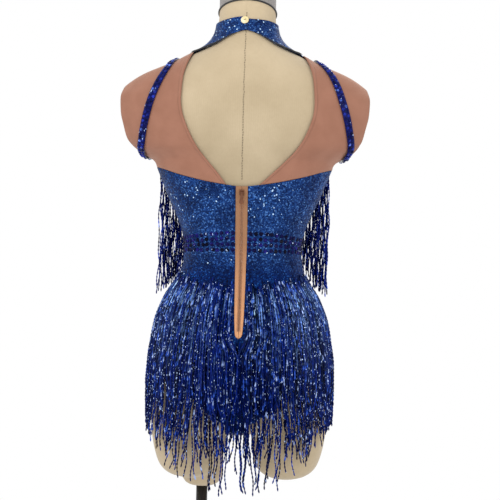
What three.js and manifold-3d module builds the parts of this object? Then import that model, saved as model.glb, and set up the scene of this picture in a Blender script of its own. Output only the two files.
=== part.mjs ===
// Rhinestone tassel bodysuit on a limbless dress form, in millimetres, +Z up.
// The garment's back, with its zip, faces -Y and its front faces +Y. The origin is on the floor under it.
import * as THREE from "three";
import { mergeVertices } from "three/addons/utils/BufferGeometryUtils.js";
import Module from "manifold-3d";

const wasm = await Module();
wasm.setup();

// ---------------------------------------------------------------- driving sizes
const FORM_INSET = 1.8; // the form's skin lies this far inside the fitted surface
const FORM_GAP = 1.3; // from the fitted surface to the inside of the cloth
const FABRIC = 1.4; // glitter fabric
const MESH_FABRIC = 1.0; // skin-tone net
const CLOTH = FORM_GAP + FABRIC; // from the fitted surface to the outside of the glitter fabric
const SEAM_GAP = 0.3; // between two pieces that meet at a seam
const SEAM_EASE = 0.3; // added where the two edges curve, for their straight facets
const CUFF_INSET = 4; // the shoulder ends stop this far inside the cuffs

const SIDE_LEG_Z = 812; // top of the leg opening at the side seam
const CROTCH_SEAM_Z = 648; // where front and back meet the gusset
const CROTCH_Z = 640; // where the torso starts to round under
const CROTCH_DROP = 15; // how far it rounds down below that
const GUSSET_HALF = 20;
const UNDERARM_Z = 1100;
const UNDERARM_HEIGHTS = [1101, 1104, 1108, 1113]; // rows between the underarm and the armhole
const SHOULDER_Z = 1289; // where the halter's edge reaches the shoulder line

const ZIP_BOTTOM = 797;
const ZIP_TOP = 1060;
const TAPE = 1.0;
const COIL_HALF = 2.2;
const COIL_HIGH = 1.5;
const SLIDER_Z = 1050;

const BAND_HALF = 7; // armhole band of stones
const BAND_LIFT = 3.9; // from the form's surface to the band's underside
const BAND_HOLLOW = 1.3; // more lift at the underarm, where the form is hollow
const BAND_THICK = 2;

const NECK_EDGE_Z = 1374; // height of the neck's sloping edge at its sides
const NECK_EDGE_SLOPE = 0.32; // it falls towards the front
const NECK_CAP_TOP = 1424;
const PIPING_R = 1.8;

const POLE_X = -64;
const POLE_Y = -4;
const POLE_R = 10;
const BASE_R = 170;
const BASE_HIGH = 8;
const BASE_EDGE = 3; // its rounded-off rim
const HUB_R = 24;
const HUB_HIGH = 16;

// ---------------------------------------------------------------- tables
// The form's horizontal sections. back, front and side are the y of the middle of the back, the middle of the
// front and the widest point; square is the superellipse exponent, 2 for an ellipse.
const SECTIONS = [
  { z: 600, halfWidth: 155, back: -92, front: 80, side: -4, square: 2.3 },
  { z: 640, halfWidth: 157, back: -103, front: 86, side: -4, square: 2.3 },
  { z: 670, halfWidth: 157.5, back: -112, front: 91, side: -4, square: 2.3 },
  { z: 705, halfWidth: 157.5, back: -118, front: 96, side: -3, square: 2.3 },
  { z: 745, halfWidth: 157, back: -119, front: 100, side: -2, square: 2.3 },
  { z: 785, halfWidth: 152.5, back: -114, front: 102, side: 0, square: 2.25 },
  { z: 825, halfWidth: 145.5, back: -103, front: 100, side: 1, square: 2.2 },
  { z: 865, halfWidth: 130.5, back: -91, front: 95, side: 2, square: 2.2 },
  { z: 900, halfWidth: 112.5, back: -82, front: 90, side: 3, square: 2.2 },
  { z: 930, halfWidth: 104, back: -78, front: 87, side: 4, square: 2.2 },
  { z: 955, halfWidth: 102.5, back: -78, front: 88, side: 4, square: 2.2 },
  { z: 985, halfWidth: 108.5, back: -82, front: 92, side: 3, square: 2.2 },
  { z: 1015, halfWidth: 120, back: -89, front: 97, side: 2, square: 2.2 },
  { z: 1045, halfWidth: 134, back: -97, front: 102, side: 0, square: 2.15 },
  { z: 1075, halfWidth: 146, back: -104.5, front: 104, side: -1, square: 2.1 },
  { z: 1097, halfWidth: 155, back: -109, front: 102, side: -3, square: 2.05 },
  { z: 1103, halfWidth: 157, back: -110, front: 101, side: -3.5, square: 2.02 },
  { z: 1109, halfWidth: 161.5, back: -111, front: 100, side: -4, square: 2 },
  { z: 1119, halfWidth: 179, back: -112.5, front: 98, side: -5, square: 2 },
  { z: 1130, halfWidth: 203, back: -114, front: 96, side: -6, square: 2 },
  { z: 1145, halfWidth: 220, back: -115.5, front: 93, side: -7, square: 2 },
  { z: 1165, halfWidth: 231, back: -116.5, front: 89, side: -8, square: 2 },
  { z: 1190, halfWidth: 237, back: -116, front: 83, side: -9, square: 2 },
  { z: 1215, halfWidth: 234, back: -113, front: 76, side: -10, square: 2 },
  { z: 1232, halfWidth: 220, back: -110, front: 71, side: -10, square: 2 },
  { z: 1249, halfWidth: 199, back: -106, front: 65, side: -10, square: 2 },
  { z: 1260, halfWidth: 180, back: -102.5, front: 60, side: -10, square: 2 },
  { z: 1270, halfWidth: 156.5, back: -99, front: 56, side: -10, square: 2 },
  { z: 1281, halfWidth: 129.5, back: -95, front: 51, side: -10, square: 2 },
  { z: 1292, halfWidth: 109, back: -90.5, front: 47, side: -10, square: 2 },
  { z: 1303, halfWidth: 87.5, back: -86, front: 44, side: -10, square: 2 },
  { z: 1314, halfWidth: 71.5, back: -80, front: 43, side: -10, square: 2 },
  { z: 1325, halfWidth: 62, back: -74, front: 43.5, side: -9, square: 2 },
  { z: 1338, halfWidth: 56, back: -68, front: 45, side: -8, square: 2 },
  { z: 1352, halfWidth: 53.5, back: -63, front: 47, side: -6, square: 2 },
  { z: 1372, halfWidth: 52.5, back: -58, front: 49, side: -3, square: 2 },
  { z: 1400, halfWidth: 52.5, back: -55, front: 51, side: -2, square: 2 },
  { z: 1430, halfWidth: 52.5, back: -54, front: 52, side: -1, square: 2 },
];

// How far out the cuffs reach: the shoulders are cut off there.
const CUFFS = [
  { z: 1097, x: 158 },
  { z: 1112, x: 166 },
  { z: 1121, x: 181 },
  { z: 1130, x: 194 },
  { z: 1145, x: 206 },
  { z: 1165, x: 211.5 },
  { z: 1190, x: 217 },
  { z: 1215, x: 218.5 },
  { z: 1232, x: 215 },
  { z: 1249, x: 208 },
  { z: 1270, x: 196 },
];

// Thigh ends: the x of the inner and outer side and the y of the back and front, for the thigh on +X.
const THIGHS = [
  { z: 690, inner: 24, outer: 150, back: -78, front: 66 },
  { z: 640, inner: 23, outer: 157, back: -86, front: 72 },
  { z: 608, inner: 23, outer: 153, back: -88, front: 74 },
  { z: 590, inner: 25, outer: 149, back: -87, front: 73 },
  { z: 570, inner: 30, outer: 142, back: -83, front: 69 },
  { z: 558, inner: 38, outer: 133, back: -75, front: 61 },
  { z: 550, inner: 50, outer: 120, back: -62, front: 48 },
  { z: 545, inner: 66, outer: 101, back: -42, front: 28 },
];

// The rounded boss under the thigh on -X, which takes the pole.
const SOCKET = [
  { z: 527, r: 0 },
  { z: 527, r: 20 },
  { z: 532, r: 30 },
  { z: 542, r: 36 },
  { z: 556, r: 38 },
  { z: 590, r: 38 },
  { z: 590, r: 0 },
];

// Seams and edges of the yoke: at each height, half the distance from one side's to the other's. Those of the
// back lean towards +X by the lean.
const KEYHOLE = [
  { z: 1058, x: 12, lean: 0 },
  { z: 1062, x: 26, lean: 0.6 },
  { z: 1071, x: 36, lean: 3 },
  { z: 1083, x: 47, lean: 4.7 },
  { z: 1104, x: 66.8, lean: 6.4 },
  { z: 1124, x: 84, lean: 7.6 },
  { z: 1145, x: 97, lean: 8.2 },
  { z: 1166, x: 106.3, lean: 8 },
  { z: 1187, x: 112.8, lean: 7.5 },
  { z: 1207, x: 114.8, lean: 6.8 },
  { z: 1228, x: 113.9, lean: 6.5 },
  { z: 1249, x: 112, lean: 6.3 },
  { z: 1270, x: 106.7, lean: 6 },
  { z: 1288, x: 100, lean: 5 },
  { z: 1298, x: 95, lean: 4 },
];
const ARMHOLE_BACK = [
  { z: 1102, x: 157, lean: 0 },
  { z: 1112, x: 169, lean: 0 },
  { z: 1119, x: 178.5, lean: 0 },
  { z: 1129, x: 182, lean: 3 },
  { z: 1142, x: 180.4, lean: 4.6 },
  { z: 1156, x: 178, lean: 4.6 },
  { z: 1183, x: 172.3, lean: 4.7 },
  { z: 1210, x: 164.3, lean: 4.5 },
  { z: 1237, x: 153.8, lean: 5 },
  { z: 1250, x: 147.3, lean: 5 },
  { z: 1264, x: 139, lean: 4 },
  { z: 1277, x: 130, lean: 1.3 },
  { z: 1284, x: 124, lean: 0 },
  { z: 1292, x: 114, lean: 0 },
  { z: 1298, x: 104, lean: 0 },
];
const ARMHOLE_FRONT = [
  { z: 1102, x: 157 },
  { z: 1112, x: 167 },
  { z: 1119, x: 174 },
  { z: 1130, x: 176 },
  { z: 1153, x: 171 },
  { z: 1188, x: 164 },
  { z: 1222, x: 158 },
  { z: 1250, x: 148 },
  { z: 1264, x: 139 },
  { z: 1277, x: 130 },
  { z: 1284, x: 124 },
  { z: 1292, x: 114 },
  { z: 1298, x: 104 },
];
const HALTER = [
  { z: 1099, x: 158 },
  { z: 1108, x: 147 },
  { z: 1120, x: 133 },
  { z: 1134, x: 121 },
  { z: 1150, x: 112 },
  { z: 1175, x: 105 },
  { z: 1205, x: 103 },
  { z: 1235, x: 104 },
  { z: 1262, x: 107 },
  { z: 1276, x: 110 },
  { z: 1286, x: 112 },
  { z: 1296, x: 112 },
];
// Height of the seam between the glitter back and the net yoke, by distance from the middle.
const YOKE_SEAM = [
  { x: 10, z: 1061 },
  { x: 35, z: 1064 },
  { x: 57, z: 1067.5 },
  { x: 84, z: 1073.4 },
  { x: 109, z: 1080.3 },
  { x: 153, z: 1097 },
];
// Half the width of zip tape that shows.
const ZIP_TAPE = [
  { z: 797, half: 0.8 },
  { z: 800, half: 4.8 },
  { z: 806, half: 6.5 },
  { z: 850, half: 8.5 },
  { z: 925, half: 9.4 },
  { z: 967, half: 10.2 },
  { z: 1061, half: 10.3 },
];
// Lower edge of the collar's back, by angle from the middle of the back.
const COLLAR_LOWER = [
  { angle: 0, z: 1334 },
  { angle: 13, z: 1330.5 },
  { angle: 22, z: 1326.5 },
  { angle: 32, z: 1320.5 },
  { angle: 44, z: 1310 },
  { angle: 55, z: 1303.3 },
  { angle: 62, z: 1298.8 },
  { angle: 75, z: 1297.8 },
  { angle: 90, z: 1297.5 },
];
const COLLAR_TOP = { back: 1356.5, side: 1352, front: 1342 };
const BUTTON = { angle: -2.5, z: 1351 };

// Rows of hip fringe: the height of the strip at the middle and at the sides, how far the strands lie off the
// cloth and swing out at their ends, how long they are at the middle and at the sides, and half the gap the
// row leaves at the middle of the back.
const HIP_ROWS = [
  { place: "top", middle: 887, side: 898, lift: 7.8, flare: 3, length: 214, sideLength: 214, opening: 13 },
  { place: "middle", middle: 836, side: 874, lift: 4.8, flare: 1.5, length: 222, sideLength: 216, opening: 12 },
  { place: "low", middle: 786, side: 858, lift: 1.8, flare: 0, length: 240, sideLength: 214, opening: 3 },
];
// Where the strands of each row bend.
const HIP_BENDS = { top: [1, 5, 10, 16], middle: [1, 5, 10, 15], low: [1, 4, 8] };
const HIP_STRANDS = 36; // in each row
const BEND_STEPS = 24; // the bends are counted in these parts of a strand, which also ends in one
const STRIP_THICK = 1.2;
const STRIP_HIGH = 9;
const STRIP_LIFT = 1.1; // from the cloth to the strip that holds a row of strands
const STRAND_WIDE = 3.6;
const STRAND_THICK = 1.4;
const ARM_STRANDS = 12;
const ARM_STRAND_WIDE = 2.8;
const ARM_STRAND_LENGTH = 228;
const ARM_BENDS = [1, 5, 12];
const ARM_ROOTS = { outer: 150, inner: 106 }; // the x of the first and last strand
const ARM_ROOT_IN = 3; // from the halter's edge in to the strip
const ARM_STRIP_HIGH = 6;
const ARM_LIFT = 5; // from the cloth to the strands
const ARM_STAGGER = 2.6; // every other strand hangs this much further out

// ---------------------------------------------------------------- curves and surface
const clamp = THREE.MathUtils.clamp;
const lerp = THREE.MathUtils.lerp;
const deg = THREE.MathUtils.degToRad;

// A smooth curve through a table's rows that never overshoots them: column `value` against column `key`.
function curveOf(rows, key, value) {
  const k = rows.map((r) => r[key]);
  const v = rows.map((r) => r[value]);
  const slope = k.slice(1).map((x, i) => (v[i + 1] - v[i]) / (x - k[i]));
  const tangent = k.map((_, i) => {
    if (i === 0) return slope[0];
    if (i === k.length - 1) return slope[i - 1];
    const [a, b] = [slope[i - 1], slope[i]];
    return a * b <= 0 ? 0 : (2 * a * b) / (a + b);
  });
  return (x) => {
    const at = clamp(x, k[0], k[k.length - 1]);
    let i = 0;
    while (i < k.length - 2 && at > k[i + 1]) i++;
    const step = k[i + 1] - k[i];
    const t = (at - k[i]) / step;
    const [t2, t3] = [t * t, t * t * t];
    return (
      v[i] * (2 * t3 - 3 * t2 + 1) +
      tangent[i] * step * (t3 - 2 * t2 + t) +
      v[i + 1] * (3 * t2 - 2 * t3) +
      tangent[i + 1] * step * (t3 - t2)
    );
  };
}

const ascending = (rows) => [...rows].sort((a, b) => a.z - b.z);
const halfWidthAt = curveOf(SECTIONS, "z", "halfWidth");
const backAt = curveOf(SECTIONS, "z", "back");
const frontAt = curveOf(SECTIONS, "z", "front");
const sideAt = curveOf(SECTIONS, "z", "side");
const squareAt = curveOf(SECTIONS, "z", "square");
const cuffAt = curveOf(CUFFS, "z", "x");
const keyholeAt = curveOf(KEYHOLE, "z", "x");
const keyholeLeanAt = curveOf(KEYHOLE, "z", "lean");
const halterAt = curveOf(HALTER, "z", "x");
// The height of its slanting lower part, which the first rows give.
const halterHeightAt = curveOf(HALTER.slice(0, 6).reverse(), "x", "z");
const armholeBackAt = curveOf(ARMHOLE_BACK, "z", "x");
const armholeLeanAt = curveOf(ARMHOLE_BACK, "z", "lean");
const armholeFrontAt = curveOf(ARMHOLE_FRONT, "z", "x");
const yokeSeamAt = curveOf(YOKE_SEAM, "x", "z");
const zipHalfAt = curveOf(ZIP_TAPE, "z", "half");
const collarLowerAt = curveOf(COLLAR_LOWER, "angle", "z");

const BUST = { x: 78, z: 1082, lift: 27, wide: 56, above: 64, below: 50 };
const SEAT = { x: 72, z: 728, lift: 7, wide: 55, high: 60 };
const bell = (d, width) => Math.exp(-((d / width) ** 2));

// A point of the form. angle is 0 at the middle of the back, 90 degrees on +X and 180 at the front's middle.
function formPoint(angle, z) {
  const power = 2 / squareAt(z);
  const s = Math.sin(angle);
  const c = Math.cos(angle);
  const x = halfWidthAt(z) * Math.sign(s) * Math.abs(s) ** power;
  const end = c > 0 ? backAt(z) : frontAt(z);
  let y = sideAt(z) + (end - sideAt(z)) * Math.abs(c) ** power;
  if (c < 0) {
    const high = z > BUST.z ? BUST.above : BUST.below;
    y += BUST.lift * bell(Math.abs(x) - BUST.x, BUST.wide) * bell(z - BUST.z, high) * Math.min(1, -2 * c);
  } else {
    y -= SEAT.lift * bell(Math.abs(x) - SEAT.x, SEAT.wide) * bell(z - SEAT.z, SEAT.high) * Math.min(1, 2 * c);
  }
  return new THREE.Vector3(x, y, z);
}

function outward(angle, z) {
  const da = 0.01;
  const dz = 0.6;
  const across = formPoint(angle + da, z).sub(formPoint(angle - da, z));
  const up = formPoint(angle, z + dz).sub(formPoint(angle, z - dz));
  return across.cross(up).normalize();
}

const offForm = (angle, z, lift) => formPoint(angle, z).addScaledVector(outward(angle, z), lift);

// The angle, in the back or front quarter on +X, at which the section reaches x.
function angleOf(x, z, front) {
  const share = clamp(x / halfWidthAt(z), 0, 1) ** (squareAt(z) / 2);
  const angle = Math.asin(clamp(share, 0, 1));
  return front ? Math.PI - angle : angle;
}

// ---------------------------------------------------------------- solids
const ink = {
  glitter: { color: 0x1b3f8f, roughness: 0.35, metalness: 0.3 },
  net: { color: 0xb98672, roughness: 0.8, metalness: 0 },
  stones: { color: 0x12228a, roughness: 0.15, metalness: 0.5 },
  beads: { color: 0x14236e, roughness: 0.25, metalness: 0.3 },
  zip: { color: 0xb57a48, roughness: 0.7, metalness: 0 },
  zipMetal: { color: 0xa9774c, roughness: 0.35, metalness: 0.5 },
  gold: { color: 0xe9dfb0, roughness: 0.3, metalness: 0.4 },
  canvas: { color: 0xdccaa4, roughness: 0.9, metalness: 0 },
  felt: { color: 0x8f8a86, roughness: 0.95, metalness: 0 },
  black: { color: 0x111113, roughness: 0.5, metalness: 0.2 },
};

const model = new THREE.Group();

function add(name, geometry, look) {
  const mesh = new THREE.Mesh(geometry, new THREE.MeshStandardMaterial(look));
  mesh.name = name;
  model.add(mesh);
  return mesh;
}

// A geometry from points and triangles, turned to face out if it was listed inside out.
function geometryOf(points, triangles) {
  let volume = 0;
  for (const [a, b, c] of triangles) volume += points[a].dot(points[b].clone().cross(points[c]));
  const index = triangles.flatMap(([a, b, c]) => (volume < 0 ? [a, c, b] : [a, b, c]));
  const geometry = new THREE.BufferGeometry();
  geometry.setAttribute("position", new THREE.Float32BufferAttribute(points.flatMap((p) => p.toArray()), 3));
  geometry.setIndex(index);
  return geometry;
}

function manifoldOf(geometry) {
  const bare = geometry.clone();
  bare.deleteAttribute("normal");
  bare.deleteAttribute("uv");
  const merged = mergeVertices(bare, 1e-3);
  const vertProperties = merged.getAttribute("position").array;
  const triVerts = new Uint32Array(merged.index.array);
  return new wasm.Manifold(new wasm.Mesh({ numProp: 3, vertProperties, triVerts }));
}

function geometryFrom(solid) {
  const mesh = solid.getMesh();
  const geometry = new THREE.BufferGeometry();
  geometry.setAttribute("position", new THREE.BufferAttribute(new Float32Array(mesh.vertProperties), 3));
  geometry.setIndex(new THREE.BufferAttribute(new Uint32Array(mesh.triVerts), 1));
  return geometry;
}

const joined = (...geometries) => geometryFrom(geometries.map(manifoldOf).reduce((a, b) => a.add(b)));

// A solid through closed rings of points, with a flat fan at each end.
function loft(rings) {
  const n = rings[0].length;
  const points = rings.flat();
  const triangles = [];
  rings.slice(1).forEach((_, r) => {
    for (let i = 0; i < n; i++) {
      const [a, b] = [r * n + i, r * n + ((i + 1) % n)];
      triangles.push([a, b, b + n], [a, b + n, a + n]);
    }
  });
  for (const [ring, flip] of [[0, true], [rings.length - 1, false]]) {
    const middle = rings[ring].reduce((sum, p) => sum.add(p), new THREE.Vector3()).divideScalar(n);
    const m = points.push(middle) - 1;
    for (let i = 0; i < n; i++) {
      const [a, b] = [ring * n + i, ring * n + ((i + 1) % n)];
      triangles.push(flip ? [b, a, m] : [a, b, m]);
    }
  }
  return geometryOf(points, triangles);
}

// A cloth wall over a grid. pointAt(column, row, lift) gives the point at that lift off the form.
function wall(columns, rows, pointAt, inner, outer, closed = false) {
  const wide = closed ? columns : columns + 1;
  const layer = wide * (rows + 1);
  const points = [];
  for (const lift of [inner, outer]) {
    for (let r = 0; r <= rows; r++) {
      for (let c = 0; c < wide; c++) points.push(pointAt(c, r, lift));
    }
  }
  const at = (c, r, side) => side * layer + r * wide + (c % wide);
  const triangles = [];
  const quad = (a, b, c, d) => triangles.push([a, b, c], [a, c, d]);
  for (let r = 0; r < rows; r++) {
    for (let c = 0; c < columns; c++) {
      quad(at(c, r, 1), at(c + 1, r, 1), at(c + 1, r + 1, 1), at(c, r + 1, 1));
      quad(at(c, r + 1, 0), at(c + 1, r + 1, 0), at(c + 1, r, 0), at(c, r, 0));
    }
  }
  for (let c = 0; c < columns; c++) {
    quad(at(c, 0, 0), at(c + 1, 0, 0), at(c + 1, 0, 1), at(c, 0, 1));
    quad(at(c, rows, 1), at(c + 1, rows, 1), at(c + 1, rows, 0), at(c, rows, 0));
  }
  if (!closed) {
    for (let r = 0; r < rows; r++) {
      quad(at(0, r, 1), at(0, r + 1, 1), at(0, r + 1, 0), at(0, r, 0));
      quad(at(columns, r, 0), at(columns, r + 1, 0), at(columns, r + 1, 1), at(columns, r, 1));
    }
  }
  return geometryOf(points, triangles);
}

// The heights of a panel's rows, as shares of its own height, from heights along one of its edges.
const sharesOf = (heights) => heights.map((z) => (z - heights[0]) / (heights.at(-1) - heights[0]));

// A panel of the garment. Its rows run from firstEdge to lastEdge, which give the angle of its two upright
// edges at a height; heightAt(t, share) is the height of a row at t of the way across. turned puts it on -X.
function panel({ columns, shares, heightAt, firstEdge, lastEdge, thick = FABRIC, turned = false }) {
  const side = turned ? -1 : 1;
  const pointAt = (c, r, lift) => {
    const t = c / columns;
    const share = shares[r];
    const angle = lerp(firstEdge(heightAt(0, share)), lastEdge(heightAt(1, share)), t);
    return offForm(side * angle, heightAt(t, share), lift);
  };
  return wall(columns, shares.length - 1, pointAt, FORM_GAP, FORM_GAP + thick);
}

const SIDES = [
  { side: "right", turned: false },
  { side: "left", turned: true },
];
const even = (count) => Array.from({ length: count + 1 }, (_, i) => i / count);
// A small angle that leaves half a seam gap at this height.
const gapAngle = (z) => SEAM_GAP / 2 / Math.min(-backAt(z), frontAt(z));

// ---------------------------------------------------------------- dress form
const FORM_STEPS = 32;
const neckEdge = (y) => NECK_EDGE_Z - NECK_EDGE_SLOPE * (y - sideAt(NECK_EDGE_Z));

function formRing(heightAt, inset = FORM_INSET) {
  return Array.from({ length: FORM_STEPS }, (_, i) => {
    const angle = (i / FORM_STEPS) * 2 * Math.PI;
    const z = heightAt(angle);
    const p = offForm(angle, z, -inset);
    const limit = z > CUFFS[0].z && z < CUFFS[CUFFS.length - 1].z ? cuffAt(z) - CUFF_INSET : Infinity;
    p.x = clamp(p.x, -limit, limit);
    return p;
  });
}

// Height of the neck's sloping edge at an angle; its y is found from the section there.
const neckEdgeAt = (angle) => neckEdge(formPoint(angle, neckEdge(formPoint(angle, NECK_EDGE_Z).y)).y);

const THIGH_STEPS = 14; // round a thigh
const THIGH_POWER = 0.87; // below 1 squares the section off a little

function thigh(turned) {
  const side = turned ? -1 : 1;
  const between = (low, high, s) => lerp(low, high, (1 + Math.sign(s) * Math.abs(s) ** THIGH_POWER) / 2);
  const ring = ({ z, inner, outer, back, front }) =>
    Array.from({ length: THIGH_STEPS }, (_, i) => {
      const a = (i / THIGH_STEPS) * 2 * Math.PI;
      const x = between(inner, outer, Math.sin(a));
      return new THREE.Vector3(side * x, between(back, front, Math.cos(a)), z);
    });
  return loft(ascending(THIGHS).map(ring));
}

function dressForm() {
  const middle = new THREE.Vector3(0, sideAt(CROTCH_Z), CROTCH_Z);
  const under = [78, 58, 38, 18].map((a) =>
    formRing(() => CROTCH_Z).map((p) => {
      const low = middle.clone().lerp(p, Math.cos(deg(a)));
      return low.setZ(CROTCH_Z - CROTCH_DROP * Math.sin(deg(a)));
    }),
  );
  const heights = [
    ...[640, 690, 745, 790, 828, 862, 892, 920, 950, 985, 1020, 1050, 1074, 1094, 1103, 1110, 1118, 1128],
    ...[1145, 1170, 1200, 1224, 1242, 1256, 1268, 1281, 1292, 1303, 1314, 1326, 1342],
  ];
  const torso = loft([...under, ...heights.map((z) => formRing(() => z)), formRing(neckEdgeAt)]);
  const socket = new THREE.LatheGeometry(SOCKET.map(({ r, z }) => new THREE.Vector2(r, z)), 16);
  socket.rotateX(Math.PI / 2);
  socket.translate(POLE_X, POLE_Y, 0);
  add("form_body", joined(torso, thigh(false), thigh(true), socket), ink.canvas);

  const capSteps = [
    { inset: FORM_INSET, up: 0, drop: 0 },
    { inset: FORM_INSET, up: 1, drop: 4 },
    { inset: FORM_INSET + 5, up: 1, drop: 0 },
  ];
  const capRing = ({ inset, up, drop }) =>
    formRing((angle) => lerp(neckEdgeAt(angle) + SEAM_GAP, NECK_CAP_TOP - drop, up), inset);
  add("form_neck_cap", loft(capSteps.map(capRing)), ink.felt);

  const pipingFaces = 3;
  const piping = wall(
    FORM_STEPS,
    pipingFaces,
    (c, r, reach) => {
      const angle = (c / FORM_STEPS) * 2 * Math.PI;
      const turn = (r / pipingFaces) * Math.PI;
      const off = SEAM_GAP - FORM_INSET + reach * Math.sin(turn);
      return offForm(angle, neckEdgeAt(angle) - reach * Math.cos(turn), off);
    },
    PIPING_R * 0.3,
    PIPING_R,
    true,
  );
  add("form_piping", piping, ink.black);
}

function stand() {
  const rim = [
    [0, 0],
    [BASE_R, 0],
    [BASE_R, BASE_HIGH - BASE_EDGE],
    [BASE_R - BASE_EDGE, BASE_HIGH],
    [0, BASE_HIGH],
  ];
  const disc = new THREE.LatheGeometry(rim.map(([r, z]) => new THREE.Vector2(r, z)), 32);
  disc.rotateX(Math.PI / 2);
  const hub = new THREE.CylinderGeometry(HUB_R - 4, HUB_R, HUB_HIGH, 24);
  hub.rotateX(Math.PI / 2);
  hub.translate(POLE_X, POLE_Y, BASE_HIGH - 1 + HUB_HIGH / 2);
  add("stand_base", joined(disc, hub), ink.black);

  const low = BASE_HIGH - 1 + HUB_HIGH + SEAM_GAP;
  const high = SOCKET[0].z - SEAM_GAP;
  const pole = new THREE.CylinderGeometry(POLE_R, POLE_R, high - low, 20);
  pole.rotateX(Math.PI / 2);
  pole.translate(POLE_X, POLE_Y, (high + low) / 2);
  add("stand_pole", pole, ink.black);
}

// ---------------------------------------------------------------- glitter panels
// How high the leg opening is, from the crotch seam at the middle to the side seam.
function legLine(angle, power) {
  const flat = GUSSET_HALF / halfWidthAt(CROTCH_Z);
  const share = clamp((Math.abs(Math.sin(angle)) - flat) / (1 - flat), 0, 1);
  return lerp(CROTCH_SEAM_Z + SEAM_GAP, SIDE_LEG_Z, share ** power);
}

const collarTop = (angle) =>
  Math.cos(angle) > 0
    ? lerp(COLLAR_TOP.side, COLLAR_TOP.back, Math.cos(angle) ** 2)
    : lerp(COLLAR_TOP.side, COLLAR_TOP.front, Math.cos(angle) ** 2);

function front() {
  const edge = (z) => (z <= UNDERARM_Z ? Math.PI / 2 : angleOf(halterAt(z), z, true)) + gapAngle(z);
  const edgeHeights = [
    ...[812, 845, 878, 905, 930, 958, 990, 1022, 1050, 1070, 1086, 1098],
    ...UNDERARM_HEIGHTS,
    ...armholeHeights,
    ...[SHOULDER_Z, 1296, 1308, 1322, 1337, 1352],
  ];
  const acrossAngle = (t) => lerp(Math.PI / 2, (3 * Math.PI) / 2, t);
  const geometry = panel({
    columns: 16,
    shares: sharesOf(edgeHeights),
    heightAt: (t, share) => lerp(legLine(acrossAngle(t), 0.9), collarTop(acrossAngle(t)), share),
    firstEdge: edge,
    lastEdge: (z) => 2 * Math.PI - edge(z),
  });
  add("front", geometry, ink.glitter);
}

// Half the width left open for the zip, which tapers and rounds off to a plain seam below the zip's end.
const zipOpening = (z) => (z <= ZIP_BOTTOM - SEAM_GAP ? SEAM_GAP / 2 : zipHalfAt(z + SEAM_GAP) + SEAM_GAP);

// The seam's height at an angle, along which the yoke joins the back.
const yokeSeam = (angle) => yokeSeamAt(halfWidthAt(1085) * Math.sin(angle));

function backs() {
  const middleHeights = [
    648.3, 680, 712, 744, 772, 796, 797.3, 800, 804, 808, 838, 868, 898, 928, 958, 988, 1012, 1036, 1060.5,
  ];
  const acrossAngle = (t) => lerp(angleOf(zipHalfAt(ZIP_TOP), ZIP_TOP, false), Math.PI / 2, t);
  const seam = (angle) => yokeSeam(angle) - SEAM_GAP - SEAM_EASE;
  for (const { side, turned } of SIDES) {
    const geometry = panel({
      columns: 8,
      shares: sharesOf(middleHeights),
      heightAt: (t, share) => lerp(legLine(acrossAngle(t), 1.35), seam(acrossAngle(t)), share),
      firstEdge: (z) => angleOf(zipOpening(z), z, false),
      lastEdge: (z) => Math.PI / 2 - gapAngle(z),
      turned,
    });
    add(`back_${side}`, geometry, ink.glitter);
  }
}

// The gusset runs under the crotch between the back and the front. Each step is a point of the form's middle
// line and the direction out from it.
function gusset() {
  const middle = sideAt(CROTCH_Z);
  const under = (a) => {
    const [s, c] = [Math.sin(deg(a)), Math.cos(deg(a))];
    const reach = c > 0 ? middle - backAt(CROTCH_Z) : frontAt(CROTCH_Z) - middle;
    return {
      at: new THREE.Vector3(0, middle - reach * c, CROTCH_Z - CROTCH_DROP * s),
      out: new THREE.Vector3(0, -c / reach, -s / CROTCH_DROP).normalize(),
    };
  };
  const top = (front) => ({
    at: new THREE.Vector3(0, (front ? frontAt : backAt)(CROTCH_SEAM_Z), CROTCH_SEAM_Z),
    out: new THREE.Vector3(0, front ? 1 : -1, -0.25).normalize(),
  });
  const steps = [top(false), ...[0, 14, 28, 44, 65, 90, 115, 136, 152, 166, 180].map(under), top(true)];
  const columns = 4;
  const geometry = wall(
    columns,
    steps.length - 1,
    (c, r, lift) => {
      const x = lerp(-GUSSET_HALF, GUSSET_HALF, c / columns);
      return steps[r].at.clone().addScaledVector(steps[r].out, lift).setX(x);
    },
    FORM_GAP,
    FORM_GAP + FABRIC,
  );
  add("gusset", geometry, ink.glitter);
}

function collars() {
  for (const { side, turned } of SIDES) {
    const geometry = panel({
      columns: 10,
      shares: even(4),
      heightAt: (t, share) => lerp(collarLowerAt(90 * t), collarTop((t * Math.PI) / 2), share),
      firstEdge: gapAngle,
      lastEdge: (z) => Math.PI / 2 - gapAngle(z),
      turned,
    });
    add(`collar_${side}`, geometry, ink.glitter);
  }
}

// ---------------------------------------------------------------- net yokes and cap sleeves
// The two heights at which a seam that runs round the arm reaches the underarm and the shoulder line.
function armholeEnds(seamAt) {
  const over = (z) => seamAt(z) - halfWidthAt(z);
  const solve = (low, high) => {
    for (let i = 0; i < 40; i++) {
      const mid = (low + high) / 2;
      if (over(mid) > 0 === over(low) > 0) low = mid;
      else high = mid;
    }
    return (low + high) / 2;
  };
  return { bottom: solve(1102, 1122), top: solve(1270, 1298) };
}
const ARMHOLE = armholeEnds(armholeBackAt);
const ARM_STEPS = 24; // round the armhole
const YOKE_TOP = 1296;
const KEYHOLE_LOW_Z = 1063; // where the keyhole's edge meets the yoke seam

// How far up a loop round the arm a turn of it is: 0 at the underarm and 1 at the shoulder, half way round.
const upLoop = (turn) => (1 - Math.cos(2 * Math.PI * turn)) / 2;
const armholeHeights = Array.from({ length: ARM_STEPS / 2 + 1 }, (_, i) =>
  lerp(ARMHOLE.bottom, ARMHOLE.top, upLoop(i / ARM_STEPS)),
);

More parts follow.
